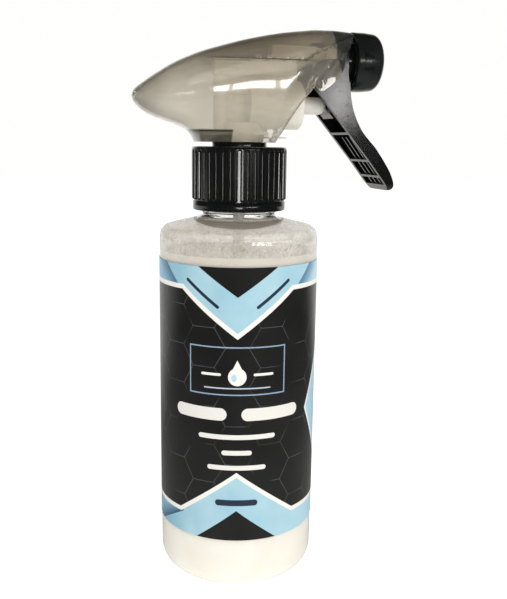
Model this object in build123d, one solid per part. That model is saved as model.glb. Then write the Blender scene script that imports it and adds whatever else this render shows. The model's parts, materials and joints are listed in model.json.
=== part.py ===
from build123d import *
import math
import os

# Trigger-spray bottle, 250 ml, millimetres.
# Origin: centre of the bottle's base.  +Z up, +X the way the nozzle sprays,
# the XZ plane is the plane of symmetry of the sprayer.
# Name prefixes: R radius, T thickness, H height, W half width across Y,
# X, Y, Z position (0 is the lower end of a span, 1 the upper end).
# Sizes shared between pieces come first, the rest stand with their piece.

SIDES = (-1, 1)

# ---- bottle, neck and thread
R_BOTTLE = 28.0          # straight wall
T_WALL = 0.7
T_FLOOR = 0.9
R_BASE_CORNER = 7.0
R_FOOT_INNER = 17.5      # inner edge of the flat foot ring
H_PUSHUP = 2.6           # rise of the base's middle
Z_WALL_TOP = 122.3       # where the straight wall ends
R_NECK = 12.55           # under the thread
R_NECK_BORE = 10.8
Z_NECK_TOP = 149.5
NECK_CHAMFER = 0.4
PITCH = 4.233            # 6 threads per inch, 28 mm finish
TURNS = 1.5
W_THREAD_ROOT, W_THREAD_CREST = 1.25, 0.5
THREAD_SINK = 0.25       # depth of the ridge's root inside its wall
R_NECK_CREST = 13.75
Z_NECK_THREAD = 140.4    # centre of the neck thread at its start

# ---- valve housing, dip tube and inlet ball
Z_FLANGE0, Z_FLANGE1 = 150.5, 151.85
R_STEM_TOP = 5.55
Z_HOUSING_TOP = 159.0
R_TUBE, R_TUBE_BORE = 2.0, 1.4
Z_TUBE0, Z_TUBE1 = 5.0, 148.9
R_BALL = 1.985
BALL_LIFT = 1.0
Z_SEAT = 152.5           # sharp edge the inlet ball sits on
R_SEAT = 1.3
Z_BALL = Z_SEAT + math.sqrt(R_BALL ** 2 - R_SEAT ** 2) + 0.03

# ---- pump, piston and pivot
Z_CYLINDER = 168.2       # axis of the pump cylinder
X_CHAMBER = 4.0          # rear wall of the chamber
R_DUCT = 1.2
Z_DUCT = 185.7           # upper duct, which leads to the nozzle
X_OUTLET = 35.0          # front face of the outlet block
Z_OUTLET_TOP = 188.0
X_PLUG = 28.5
X_PIVOT, Z_PIVOT = 31.5, 180.5
Y_LUG0, Y_LUG1 = 5.6, 7.3
X_ROD_TIP = 31.15
X_PISTON0, X_PISTON1 = 10.6, 15.5    # piston at rest
R_PISTON = 5.6
X_ROD_HOLLOW = 14.0      # bottom of the hollow in the piston's rear

# ---- nozzle
Z_NOZZLE = 183.5
X_BARREL = 44.9          # front face of the barrel the nozzle turns on
R_BARREL = 6.4
X_BEAD0, X_BEAD1, R_BEAD = 42.9, 43.7, 6.7   # bead on the barrel


# ================================================================ helpers
def cyl_z(r, z0, z1, x=0.0):
    return Pos(x, 0, (z0 + z1) / 2) * Cylinder(r, z1 - z0)


def cyl_x(r, x0, x1, z=Z_NOZZLE):
    return Pos((x0 + x1) / 2, 0, z) * Rot(0, 90, 0) * Cylinder(r, x1 - x0)


def cyl_y(r, y0, y1, x, z):
    return Pos(x, (y0 + y1) / 2, z) * Rot(90, 0, 0) * Cylinder(r, y1 - y0)


def block(x0, x1, y0, y1, z0, z1):
    return Pos((x0 + x1) / 2, (y0 + y1) / 2, (z0 + z1) / 2) * Box(x1 - x0, y1 - y0, z1 - z0)


def bar(x0, x1, half_width, z0, z1):
    """Block centred on the XZ plane."""
    return block(x0, x1, -half_width, half_width, z0, z1)


def plate(points, half_width, y=0.0):
    """(x, z) outline thickened to both sides of y."""
    face = Plane(origin=(0, y + half_width, 0), x_dir=(1, 0, 0), z_dir=(0, -1, 0)) * make_face(
        Polyline(points, close=True))
    return extrude(face, 2 * half_width)


def profile(start, *steps):
    """Chain of edges; a step is (end,) for a line or (through, end) for an arc."""
    edges = []
    for *through, end in steps:
        edges.append(ThreePointArc(start, *through, end) if through else Line(start, end))
        start = end
    return Curve() + edges


def revolve_rz(edges):
    """Revolve an (r, z) outline about the Z axis."""
    return revolve(Plane.XZ * make_face(edges), Axis.Z, 360)


def thread(r_root, r_crest, z_start, start_deg):
    """Trapezoid ridge swept on a right-hand helix; it points inward if the crest is smaller."""
    path = Helix(pitch=PITCH, height=PITCH * TURNS, radius=r_root)
    depth = r_crest - r_root
    section = Polyline([(0, -W_THREAD_ROOT), (0, W_THREAD_ROOT),
                        (depth, W_THREAD_CREST), (depth, -W_THREAD_CREST)], close=True)
    face = Plane(origin=path @ 0, x_dir=(1, 0, 0), z_dir=path % 0) * make_face(section)
    ridge = sweep(face, path=path, is_frenet=True)
    return Pos(0, 0, z_start) * Rot(0, 0, start_deg) * ridge


# ================================================================ bottle and contents
Z_LIQUID = 118.0
LIQUID_GAP = 0.06
R_LABEL_IN, R_LABEL_OUT = 28.015, 28.2
Z_LABEL0, Z_LABEL1 = 19.6, 115.4
LABEL_FRONT_DEG = 256.5  # direction the label's front centre faces, from +X
LABEL_SEAM_DEG = 1.2     # open seam opposite the label's front


def corner_arc(radius, floor, corner):
    """Profile step for the rounded corner between floor and wall."""
    reach = corner * math.sqrt(0.5)
    return ((radius - corner + reach, floor + corner - reach), (radius, floor + corner))


def bottle_outer():
    return profile(
        (0, H_PUSHUP),
        ((R_FOOT_INNER * 0.55, H_PUSHUP * 0.72), (R_FOOT_INNER, 0)),
        ((R_BOTTLE - R_BASE_CORNER, 0),),
        corner_arc(R_BOTTLE, 0, R_BASE_CORNER),
        ((R_BOTTLE, Z_WALL_TOP),),
        ((26.75, 125.85), (24.3, 127.0)),       # shoulder
        ((13.6, 129.7),),
        ((12.85, 130.05), (R_NECK, 130.7)),     # neck foot
        ((R_NECK, Z_NECK_TOP - NECK_CHAMFER),),
        ((R_NECK - NECK_CHAMFER, Z_NECK_TOP),),
        ((0, Z_NECK_TOP),),
        ((0, H_PUSHUP),))


def bottle_inner(z_top, gap=0.0):
    """Inside space up to z_top, shrunk by gap."""
    wall = R_BOTTLE - T_WALL - gap
    corner = R_BASE_CORNER - T_WALL
    floor = T_FLOOR + gap
    start = (0, H_PUSHUP + floor)
    steps = [((9.6, 2.75 + gap), (R_FOOT_INNER, floor)),
             ((wall - corner, floor),),
             corner_arc(wall, floor, corner)]
    if z_top < Z_WALL_TOP:
        steps.append(((wall, z_top),))
    else:
        steps += [((wall, Z_WALL_TOP - 0.3),),
                  ((26.2, 125.1), (23.9, 126.25)),
                  ((13.0, 129.0),),
                  ((11.6, 129.85), (R_NECK_BORE, 131.3)),
                  ((R_NECK_BORE, z_top),)]
    return profile(start, *steps, ((0, z_top),), (start,))


def bottle():
    body = revolve_rz(bottle_outer())
    body += thread(R_NECK - THREAD_SINK, R_NECK_CREST, Z_NECK_THREAD, 0)
    # thin transfer bead at the foot of the neck
    body += cyl_z(13.15, 131.2, 131.75)
    return body - revolve_rz(bottle_inner(Z_NECK_TOP + 1.0))


def lubricant_fill():
    """Liquid, with a clear hole round the dip tube."""
    return revolve_rz(bottle_inner(Z_LIQUID, LIQUID_GAP)) - cyl_z(2.3, 0, Z_LIQUID + 1)


def wrap_label():
    sleeve = cyl_z(R_LABEL_OUT, Z_LABEL0, Z_LABEL1) - cyl_z(R_LABEL_IN, Z_LABEL0 - 1, Z_LABEL1 + 1)
    seam = bar(20, 40, math.radians(LABEL_SEAM_DEG) * R_BOTTLE / 2, 0, 130)
    return sleeve - Rot(0, 0, LABEL_FRONT_DEG + 180) * seam


# ================================================================ closure and gasket
R_CLOSURE, R_CLOSURE_BAND, R_CLOSURE_IN = 16.55, 16.2, 14.1
Z_CLOSURE0, Z_BAND_TOP, Z_CLOSURE1 = 132.1, 135.5, 153.8
Z_ROOF = 151.95          # underside of the closure's roof
R_BOSS, Z_BOSS = 9.5, 155.5
R_CLOSURE_HOLE = 7.3
R_CLOSURE_CREST = 12.85
THREAD_GAP = 1.8         # the closure thread lies this far under the neck thread
N_GROOVES = 40
GROOVE_WIDTH, GROOVE_DEPTH = 1.15, 0.55
Z_GROOVE0, Z_GROOVE1 = Z_BAND_TOP + 0.9, Z_CLOSURE1 - 1.0


def screw_closure():
    shell = cyl_z(R_CLOSURE, Z_CLOSURE0, Z_CLOSURE1)
    shell = fillet(shell.edges().sort_by(Axis.Z)[-1], 0.9)
    shell += cyl_z(R_BOSS, Z_CLOSURE1 - 0.5, Z_BOSS)
    # the band at the foot is narrower
    shell -= (cyl_z(R_CLOSURE + 2, Z_CLOSURE0 - 1, Z_BAND_TOP)
              - cyl_z(R_CLOSURE_BAND, Z_CLOSURE0 - 2, Z_BAND_TOP + 1))
    shell -= cyl_z(R_CLOSURE_IN, Z_CLOSURE0 - 1, Z_ROOF)
    shell -= cyl_z(R_CLOSURE_HOLE, Z_CLOSURE0, Z_BOSS + 1)
    groove = Pos(R_CLOSURE - GROOVE_DEPTH, 0, (Z_GROOVE0 + Z_GROOVE1) / 2) * Rot(0, 90, 0) * extrude(
        SlotOverall(Z_GROOVE1 - Z_GROOVE0, GROOVE_WIDTH), 2.0)
    shell -= [Rot(0, 0, i * 360.0 / N_GROOVES + 4.5) * groove for i in range(N_GROOVES)]
    # starts a quarter turn before the neck thread, so a quarter pitch lower
    shell += thread(R_CLOSURE_IN + THREAD_SINK, R_CLOSURE_CREST,
                    Z_NECK_THREAD - THREAD_GAP - 0.25 * PITCH, -90)
    return shell


def neck_gasket():
    return cyl_z(13.0, Z_NECK_TOP + 0.05, Z_FLANGE0 - 0.05) - cyl_z(10.9, 140, 160)


# ================================================================ valve housing, ball, dip tube
R_FLANGE = 13.3
R_STEM, Z_STEM = 7.1, 155.6
R_TUBE_SOCKET, Z_TUBE_SOCKET = 3.6, 141.0
Z_BALL_STOP = Z_BALL + R_BALL + BALL_LIFT + 0.05
W_CROSS_SLOT, CROSS_SLOT_REACH = 0.6, 2.43


def valve_housing():
    housing = cyl_z(R_FLANGE, Z_FLANGE0, Z_FLANGE1)
    housing += cyl_z(R_STEM, Z_FLANGE0, Z_STEM)
    housing += cyl_z(R_STEM_TOP, Z_FLANGE0, Z_HOUSING_TOP)
    housing += cyl_z(R_TUBE_SOCKET, Z_TUBE_SOCKET, Z_FLANGE0 + 0.5)
    # cone between the socket and the flange
    cone_top = Z_FLANGE0 + 0.2
    housing += revolve_rz(Polyline([(3.0, 147.5), (6.5, cone_top), (3.0, cone_top)], close=True))
    housing -= cyl_z(R_TUBE + 0.03, 140.0, Z_TUBE1 + 0.1)
    housing -= cyl_z(R_SEAT, 148.0, Z_SEAT + 0.5)
    housing -= cyl_z(R_BALL + 0.45, Z_SEAT, Z_BALL_STOP)
    # outlet above the ball: a round hole with a cross slot
    z0, z1 = Z_BALL_STOP - 0.5, Z_HOUSING_TOP + 1
    housing -= cyl_z(1.25, z0, z1)
    housing -= bar(-CROSS_SLOT_REACH, CROSS_SLOT_REACH, W_CROSS_SLOT, z0, z1)
    housing -= bar(-W_CROSS_SLOT, W_CROSS_SLOT, CROSS_SLOT_REACH, z0, z1)
    return housing


def inlet_ball():
    return Pos(0, 0, Z_BALL) * Sphere(R_BALL)


def dip_tube():
    """Tube with its foot cut at a slant."""
    tube = cyl_z(R_TUBE, Z_TUBE0, Z_TUBE1) - cyl_z(R_TUBE_BORE, 0, 150)
    return tube - Pos(0, 0, Z_TUBE0 - 3.2) * Rot(0, 30, 0) * Box(20, 20, 8)


# ================================================================ pump body and outlet plug
R_CYLINDER, R_BORE = 8.4, 7.0
X_CYLINDER0, X_CYLINDER1 = 2.0, 21.0
X_RISER, R_RISER = -6.8, 2.6
Z_RISER_TOP = 182.4
Z_CROSS_PORT = 173.0     # port between riser and chamber wall
Z_DUCT_LOW = 180.0
X_STEP = 13.0            # where the duct steps up
W_DUCT = 2.6             # half width of the walls round the duct
Z_OUTLET_FOOT = 184.0
R_LUG, R_PIN_HOLE = 3.2, 1.60
X_LUG0, X_LUG1 = X_PIVOT - R_LUG, X_PIVOT + R_LUG


def pump_body():
    # foot disc, base plate and neck
    body = cyl_z(8.3, 155.7, 158.8)
    body += fillet(bar(-14.2, 9.0, 7.6, 157.8, 158.9).edges().filter_by(Axis.Z), 3.0)
    body += cyl_z(7.2, 158.0, 162.0)
    # riser, cylinder and the web and port tube that join them
    body += cyl_z(R_RISER, 158.0, Z_RISER_TOP, X_RISER)
    body += bar(X_RISER, 3.0, 3.2, 158.5, 162.0)
    cylinder = cyl_x(R_CYLINDER, X_CYLINDER0, X_CYLINDER1, Z_CYLINDER)
    body += fillet(cylinder.edges().sort_by(Axis.X)[-1], 0.5)
    body += bar(X_RISER, 4.0, 1.1, 160.0, 181.0)
    body += cyl_x(2.1, X_RISER, 3.5, Z_CROSS_PORT)
    # lower duct, step, outlet block, and the web over the cylinder
    body += bar(X_RISER - W_DUCT, X_STEP + W_DUCT, W_DUCT, 177.9, Z_RISER_TOP)
    body += bar(X_STEP - W_DUCT, X_STEP + W_DUCT, W_DUCT, 178.0, Z_OUTLET_TOP)
    body += bar(X_STEP - W_DUCT, X_OUTLET, 2.9, Z_OUTLET_FOOT, Z_OUTLET_TOP)
    body += bar(4.0, 20.0, 0.9, 175.5, 184.5)
    # crosspiece with the two pivot lugs
    body += bar(X_LUG0, X_LUG1, Y_LUG1, Z_OUTLET_FOOT, 185.8)
    for side in SIDES:
        y0, y1 = sorted((side * Y_LUG0, side * Y_LUG1))
        body += block(X_LUG0, X_LUG1, y0, y1, Z_PIVOT, 184.5)
        body += cyl_y(R_LUG, y0, y1, X_PIVOT, Z_PIVOT)
    # thin front tongue
    tongue = bar(6.0, 16.5, 3.4, 156.75, 157.3)
    body += fillet(tongue.edges().filter_by(Axis.Z).sort_by(Axis.X)[-2:], 1.6)
    # stem socket and the way over to the riser
    body -= cyl_z(R_STEM_TOP + 0.04, 155.0, Z_HOUSING_TOP + 0.05)
    body -= cyl_z(2.4, 158.5, 160.6)
    body -= bar(X_RISER, 0, 1.4, Z_HOUSING_TOP, 160.6)
    body -= cyl_z(R_DUCT + 0.2, Z_HOUSING_TOP, Z_DUCT_LOW, X_RISER)
    # cylinder bore and its port
    body -= cyl_x(R_BORE, X_CHAMBER, X_CYLINDER1 + 1, Z_CYLINDER)
    body -= cyl_x(1.0, X_RISER, X_CHAMBER + 0.5, Z_CROSS_PORT)
    # duct to the nozzle, plug hole and pivot hole
    body -= cyl_x(R_DUCT, X_RISER, X_STEP, Z_DUCT_LOW)
    body -= cyl_z(R_DUCT, Z_DUCT_LOW, Z_DUCT, X_STEP)
    body -= cyl_x(R_DUCT, X_STEP, X_OUTLET + 1, Z_DUCT)
    body -= cyl_z(1.45, Z_DUCT, Z_OUTLET_TOP + 1, X_PLUG)
    body -= cyl_y(R_PIN_HOLE, -9, 9, X_PIVOT, Z_PIVOT)
    return body


def outlet_plug():
    head = Pos(X_PLUG, 0, Z_OUTLET_TOP + 0.05) * extrude(SlotOverall(7.0, 4.6), 1.35)
    return head + cyl_z(1.4, 187.3, 188.5, X_PLUG)


# ================================================================ piston and spring
R_ROD = 3.0
R_SEAL = 6.95
R_SPRING, R_WIRE, N_COILS = 4.2, 0.35, 4.0
SPRING_GAP = 0.05        # clearance at each end


def piston_rod():
    x_round = X_ROD_TIP - R_ROD
    rod = cyl_x(R_ROD, 15.0, x_round, Z_CYLINDER) + Pos(x_round, 0, Z_CYLINDER) * Sphere(R_ROD)
    rod += cyl_x(R_PISTON, X_PISTON0, X_PISTON1, Z_CYLINDER)
    rod += cyl_x(6.4, X_PISTON1, 16.3, Z_CYLINDER)
    return rod - cyl_x(4.9, X_PISTON0 - 1, X_ROD_HOLLOW, Z_CYLINDER)


def piston_seal():
    """Sleeve on the piston with a waist between its two lips."""
    seal = cyl_x(R_SEAL, X_PISTON0 + 0.05, X_PISTON1 - 0.05, Z_CYLINDER)
    seal -= cyl_x(8.0, 12.0, 14.1, Z_CYLINDER) - cyl_x(6.2, 11.0, 15.0, Z_CYLINDER)
    return seal - cyl_x(R_PISTON + 0.03, 0, 20, Z_CYLINDER)


def return_spring():
    length = X_ROD_HOLLOW - X_CHAMBER - 2 * SPRING_GAP - 2 * R_WIRE
    path = Helix(pitch=length / N_COILS, height=length, radius=R_SPRING)
    section = Plane(origin=path @ 0, z_dir=path % 0) * Circle(R_WIRE)
    coil = sweep(section, path=path, is_frenet=True)
    return Pos(X_CHAMBER + SPRING_GAP + R_WIRE, 0, Z_CYLINDER) * Rot(0, 90, 0) * coil


# ================================================================ nozzle
X_CAP0, X_CAP1 = 39.5, 49.8
R_CAP, R_CAP_FRONT = 10.2, 9.6       # the cap tapers a little towards its front
X_CAP_INNER = X_BARREL + 0.55        # inner face that holds the soft ring
X_SWIRL0, X_SWIRL1 = 38.7, X_BARREL - 0.1


def nozzle_adapter():
    adapter = cyl_x(8.0, X_OUTLET + 0.05, 37.0)
    # lip over the top of the outlet block
    adapter += cyl_x(8.0, 33.4, 35.2) & bar(33.0, 36.0, 6, Z_OUTLET_TOP + 0.15, 195)
    adapter &= bar(30, 60, 7.2, 170, 200)
    adapter += cyl_x(R_BARREL, 36.5, X_BARREL)
    adapter += cyl_x(R_BEAD, X_BEAD0, X_BEAD1)
    # duct, valve pocket and swirl insert bore
    adapter -= cyl_x(R_DUCT, 34.0, 36.5, Z_DUCT)
    adapter -= cyl_x(3.6, 36.0, 38.6)
    adapter -= cyl_x(2.42, 38.0, 48.0)
    # ring pocket in the barrel, split by a cross of walls
    adapter -= (cyl_x(6.0, 39.8, 42.4) - cyl_x(4.2, 39.0, 45.0) - bar(39, 45, 1, 170, 200)
                - bar(39, 45, 10, Z_NOZZLE - 1, Z_NOZZLE + 1))
    return adapter


def discharge_valve():
    """Soft disc with a guide stub."""
    return cyl_x(3.45, 36.05, 36.85) + cyl_x(0.9, 36.5, 37.9)


def swirl_insert():
    """Fluted pin with a swirl chamber in its nose."""
    centre = Pos(0, 0, Z_NOZZLE)
    pin = cyl_x(2.38, X_SWIRL0, X_SWIRL1)
    for i in range(4):
        pin -= centre * Rot(90 * i, 0, 0) * bar(38.0, X_SWIRL1 - 0.6, 0.45, 1.75, 3.0)
    x0, x1 = X_SWIRL1 - 0.5, X_SWIRL1 + 0.6
    pin -= cyl_x(1.1, x0, x1)
    # two offset slots into the chamber
    pin -= centre * block(x0, x1, 0.6, 1.1, -3.0, 0.0)
    pin -= centre * block(x0, x1, -1.1, -0.6, 0.0, 3.0)
    return pin


def nozzle_seal():
    """Soft ring between adapter and nozzle."""
    return cyl_x(6.35, X_BARREL + 0.02, X_BARREL + 0.5) - cyl_x(2.6, X_BARREL - 1, X_BARREL + 1)


def nozzle_cap():
    cap = Pos((X_CAP0 + X_CAP1) / 2, 0, Z_NOZZLE) * Rot(0, 90, 0) * Cone(
        R_CAP, R_CAP_FRONT, X_CAP1 - X_CAP0)
    cap = fillet(cap.edges().sort_by(Axis.X)[-1], 4.2)
    cap = fillet(cap.edges().sort_by(Axis.X)[0], 0.5)
    # stepped hollow, barrel fit and groove for the bead
    cap -= cyl_x(8.7, X_CAP0 - 1, X_CAP_INNER - 1.2) - cyl_x(7.7, X_CAP0 - 2, X_CAP_INNER)
    cap -= cyl_x(R_BARREL + 0.08, X_CAP0 - 1, X_CAP_INNER)
    cap -= cyl_x(R_BEAD + 0.1, X_BEAD0 - 0.1, X_BEAD1 + 0.1)
    # spray hole, opening into a cone at the front
    cap -= cyl_x(0.35, X_CAP_INNER - 1, X_CAP1 + 1)
    cap -= Pos(X_CAP1 - 1.6, 0, Z_NOZZLE) * Rot(0, 90, 0) * Cone(0.9, 3.6, 3.4)
    # small drain hole near the rear edge
    return cap - cyl_z(0.7, 172.0, 175.8, 42.6)


# ================================================================ trigger
W_GRIP, W_ARM = 9.9, 9.2
T_TRIGGER, T_ARM = 1.7, 1.3
R_PIN = 1.55
Z_TIP = 138.9
Z_POCKET_STEP = 174.5    # the cavity changes width here
X_PAD = X_ROD_TIP + 0.1  # rear face of the push pad
Z_PAD0, Z_PAD1 = 163.9, 173.2
GRIP_X, GRIP_Z = 0.656, -0.755       # direction down along the grip
CROSS_RIBS = ((36.9, 158.8), (45.1, 149.6), (49.7, 144.2))

# (x, z) outlines of the trigger, each drawn through by smooth()
ARM_EDGE = [
    (24.9, 172.4), (23.3, 174.6), (22.8, 177.2), (23.3, 180.0), (25.0, 182.3), (27.8, 183.3),
    (31.5, 183.5), (34.3, 182.6), (35.8, 180.6), (36.2, 178.2)]
FRONT_EDGE = [
    (36.2, 178.2), (36.5, 175.8), (36.8, 173.4), (37.1, 170.8), (37.75, 167.8), (38.7, 165.1),
    (39.9, 162.5), (41.35, 160.0), (43.1, 157.8), (44.9, 156.0), (46.7, 154.1), (48.7, 151.5),
    (50.7, 148.7), (52.5, 145.9), (53.7, 143.4), (54.4, 141.3), (54.5, 139.9), (53.9, 139.0),
    (53.0, 138.9), (52.0, 140.3)]
REAR_EDGE = [
    (52.0, 140.3), (48.2, 145.1), (44.6, 149.6), (41.0, 153.8), (36.7, 158.9), (32.5, 163.9),
    (28.4, 168.6), (24.9, 172.4)]
CAVITY_FRONT = [
    (35.1, 173.3), (35.4, 170.5), (36.1, 167.2), (37.1, 164.3), (38.4, 161.6), (39.9, 159.0),
    (41.8, 156.6), (43.6, 154.8), (45.35, 153.0), (47.25, 150.5), (49.2, 147.8), (51.0, 145.1),
    (52.1, 142.9), (52.4, 141.9)]


def smooth(points, parts=3):
    """Finer chain through the same points (Catmull-Rom), each span cut into parts."""
    before = tuple(2 * a - b for a, b in zip(points[0], points[1]))
    after = tuple(2 * a - b for a, b in zip(points[-1], points[-2]))
    chain = [before, *points, after]
    fine = []
    for four in zip(chain, chain[1:], chain[2:], chain[3:]):
        for i in range(parts):
            t = i / parts
            fine.append(tuple(
                0.5 * (2 * b + (c - a) * t + (2 * a - 5 * b + 4 * c - d) * t * t
                       + (3 * b - a - 3 * c + d) * t ** 3)
                for a, b, c, d in zip(*four)))
    return fine + [points[-1]]


def cross_rib(x, z, thickness=1.0):
    """Plate square to the grip, from 1.5 behind (x, z) to 14 in front of it."""
    def corner(across, along):
        return (x - across * GRIP_Z + along * GRIP_X, z + across * GRIP_X + along * GRIP_Z)

    half = thickness / 2
    return plate([corner(-1.5, -half), corner(-1.5, half), corner(14, half), corner(14, -half)],
                 W_GRIP - 0.5)


def trigger():
    outline = smooth(ARM_EDGE)[:-1] + smooth(FRONT_EDGE)[:-1] + smooth(REAR_EDGE, 2)[:-1]
    cavity = ([(18.0, 190.0), (42.0, 190.0), (42.0, 174.9), (35.0, 174.9)]
              + smooth(CAVITY_FRONT, 2)
              + [(51.7, 141.2), (50.6, 139.2), (42.0, 141.0), (16.0, 166.0)])
    body = plate(outline, W_GRIP)
    # the arms are narrower than the grip
    for y0, y1 in ((W_ARM, 12), (-12, -W_ARM)):
        body -= block(15, 45, y0, y1, 176.0, 190)
    # the tip's corners are round when seen from the front
    body &= Pos(35, 0, Z_TIP + 35) * Rot(0, 90, 0) * extrude(
        RectangleRounded(70, 2 * W_GRIP, 3.5), 60, both=True)
    w_arm_inner = W_ARM - T_ARM
    body -= plate(cavity, W_GRIP - T_TRIGGER) & bar(0, 80, 20, 120, Z_POCKET_STEP)
    body -= plate(cavity, w_arm_inner) & bar(0, 80, 20, Z_POCKET_STEP, 200)

    # ribs, trimmed to the trigger's outline
    ribs = [cross_rib(x, z) for x, z in CROSS_RIBS]
    # lengthwise ribs low in the pockets
    low = [(39.4, 157.6), (53.4, 139.4), (58.0, 142.0), (43.0, 162.0)]
    ribs += [plate(low, 0.4, y) for y in (-4.0, 0.0, 4.0)]
    # push pad for the piston rod and its three webs
    pad = [(X_PAD, Z_PAD0), (32.7, Z_PAD0), (32.7, Z_PAD1), (X_PAD, Z_PAD1)]
    web = [(32.5, Z_PAD0), (40.5, Z_PAD0), (38.5, Z_PAD1), (32.5, Z_PAD1)]
    ribs.append(plate(pad, 5.2))
    ribs += [plate(web, 0.45, y) for y in (-4.7, 0.0, 4.7)]
    limits = plate(outline, W_GRIP - 0.9)
    for rib in ribs:
        body += rib & limits
    # pivot pins
    for side in SIDES:
        y0, y1 = sorted((side * (Y_LUG0 + 0.25), side * (w_arm_inner + 0.4)))
        body += cyl_y(R_PIN, y0, y1, X_PIVOT, Z_PIVOT)
    return body


# ================================================================ shroud
T_SHROUD = 1.2
Z_SHROUD_FOOT = 155.9
N_SECTION = 20           # points round one section
MIN_HALF_WIDTH = 0.4

# (x, z) of the top and bottom lines, (x, half width), (x, superellipse exponent)
TOP_LINE = [
    (-37.3, 170.3), (-37.05, 171.2), (-36, 172.7), (-34.3, 174.1), (-30.9, 176.6), (-27.5, 178.8),
    (-24.2, 180.8), (-20.8, 182.5), (-14, 185.3), (-7.1, 187.4), (0, 189.4), (7, 191),
    (14, 192.3), (21.2, 193.2), (26.6, 193.7), (32.1, 193.75), (39.2, 193.35)]
BOTTOM_LINE = [
    (-37.3, 170.3), (-37.05, 169.3), (-36, 167.6), (-34.4, 166.0), (-31.1, 164.0), (-27.7, 162.7),
    (-24.3, 161.6), (-20.9, 160.4), (-18.6, 159.2), (-17.0, 157.6), (-15.9, 155.6),
    (-14.9, 153.0), (-13.5, 151.2), (-11.0, 150.4), (-8, 150), (39.2, 150)]
HALF_WIDTH = [
    (-37.3, 0.0), (-37.05, 1.9), (-36, 4.0), (-34, 6.0), (-30, 8.7), (-25, 10.8), (-20, 12.2),
    (-14, 13.1), (-5, 13.45), (5, 13.5), (15, 13.35), (25, 12.9), (31, 12.4), (35, 11.7),
    (39.2, 10.5)]
EXPONENT = [(-37.3, 2.0), (-14, 2.2), (10, 2.35), (25, 2.7), (39.2, 2.9)]

# x of the lofted sections
OUTER_STATIONS = [-37.2, -36.6, -35.2, -32.8, -29.5, -25.5, -21.5, -18.0, -15.0, -11.0, -5.0,
                  3.0, 12.0, 21.0, 28.0, 34.0, 38.9]
INNER_STATIONS = [-35.9, -35.2, -33.8, -31.5, -28.5, -25.0, -21.5, -18.0, -14.5, -10.5, -5.0,
                  3.0, 12.0, 21.0, 28.0, 34.0, 39.2]

# (x, z) outline cut away at the front, open for trigger and nozzle
FRONT_CUT = [
    (10.4, 150.0), (10.4, 155.9), (14.6, 162.9), (17.6, 167.4), (20.2, 170.7), (23.4, 174.4),
    (25.6, 172.6), (28.8, 174.6), (31.6, 177.3), (33.3, 180.0), (34.0, 182.7), (34.7, 185.4),
    (36.4, 187.4), (37.6, 190.0), (38.8, 194.5), (60.0, 194.5), (60.0, 140.0), (10.4, 140.0)]


def interp(table, x):
    """Monotone cubic through the table, so the form has no kinks between its stations."""
    gaps = [b[0] - a[0] for a, b in zip(table, table[1:])]
    slopes = [(b[1] - a[1]) / (b[0] - a[0]) for a, b in zip(table, table[1:])]
    tangents = [slopes[0]]
    for i in range(1, len(slopes)):
        if slopes[i - 1] * slopes[i] > 0:
            weight0, weight1 = 2 * gaps[i] + gaps[i - 1], gaps[i] + 2 * gaps[i - 1]
            tangents.append((weight0 + weight1) / (weight0 / slopes[i - 1] + weight1 / slopes[i]))
        else:
            tangents.append(0.0)
    tangents.append(slopes[-1])
    x = min(max(x, table[0][0]), table[-1][0])
    i = min(sum(1 for point in table[1:] if point[0] < x), len(gaps) - 1)
    t = (x - table[i][0]) / gaps[i]
    return ((2 * t ** 3 - 3 * t ** 2 + 1) * table[i][1]
            + (t ** 3 - 2 * t ** 2 + t) * gaps[i] * tangents[i]
            + (3 * t ** 2 - 2 * t ** 3) * table[i + 1][1]
            + (t ** 3 - t ** 2) * gaps[i] * tangents[i + 1])


def shroud_section(x, inset):
    """Superellipse with its own height above and below the widest level."""
    top, bottom = interp(TOP_LINE, x) - inset, interp(BOTTOM_LINE, x) + inset
    width = max(interp(HALF_WIDTH, x) - inset, MIN_HALF_WIDTH)
    power = 2 / interp(EXPONENT, x)
    share = 0.5 if x < -20 else min(0.55, 0.5 + (x + 20) * 0.003)
    middle = bottom + (top - bottom) * share
    points = []
    for i in range(N_SECTION):
        angle = 2 * math.pi * i / N_SECTION
        cosine, sine = math.cos(angle), math.sin(angle)
        height = (top - middle) if sine >= 0 else (middle - bottom)
        points.append((width * math.copysign(abs(cosine) ** power, cosine),
                       middle + height * math.copysign(abs(sine) ** power, sine)))
    plane = Plane(origin=(x, 0, 0), x_dir=(0, 1, 0), z_dir=(1, 0, 0))
    return plane * make_face(Spline(points, periodic=True))


def shroud():
    outer = loft([shroud_section(x, 0.0) for x in OUTER_STATIONS])
    inner = loft([shroud_section(x, T_SHROUD) for x in INNER_STATIONS])
    shell = outer - inner
    shell -= plate(FRONT_CUT, 30)
    return shell - bar(-60, 60, 30, 140, Z_SHROUD_FOOT)


# ================================================================ export
# each function is named after the file it fills
PIECES = (
    bottle, lubricant_fill, wrap_label, screw_closure, neck_gasket, valve_housing, inlet_ball,
    dip_tube, pump_body, outlet_plug, piston_rod, piston_seal, return_spring, nozzle_adapter,
    discharge_valve, swirl_insert, nozzle_seal, nozzle_cap, trigger, shroud)

os.makedirs("parts", exist_ok=True)
for piece in PIECES:
    shape = piece()
    solids = shape.solids()
    if len(solids) > 1:
        # drop slivers left by the booleans
        solids = [solid for solid in solids if solid.volume > 1e-3]
        shape = solids[0] if len(solids) == 1 else Compound(children=solids)
    elif len(solids) == 1:
        shape = solids[0]
    shape.label = piece.__name__
    export_step(shape, f"parts/{piece.__name__}.step")
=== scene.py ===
"""A trigger spray bottle, standing upright with its foot on z = 0.

The bottle's axis is the z axis and the nozzle points along +X, so the tail of the head is at -X.
The camera looks from the -Y side, turned VIEW_TURN degrees towards -X; the label faces it.
Lengths are in millimetres, except for the floor, lights and camera, which are in metres.
"""
import json
import math
import random

import bmesh
import bpy
import numpy as np
from mathutils import Matrix, Vector

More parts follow.
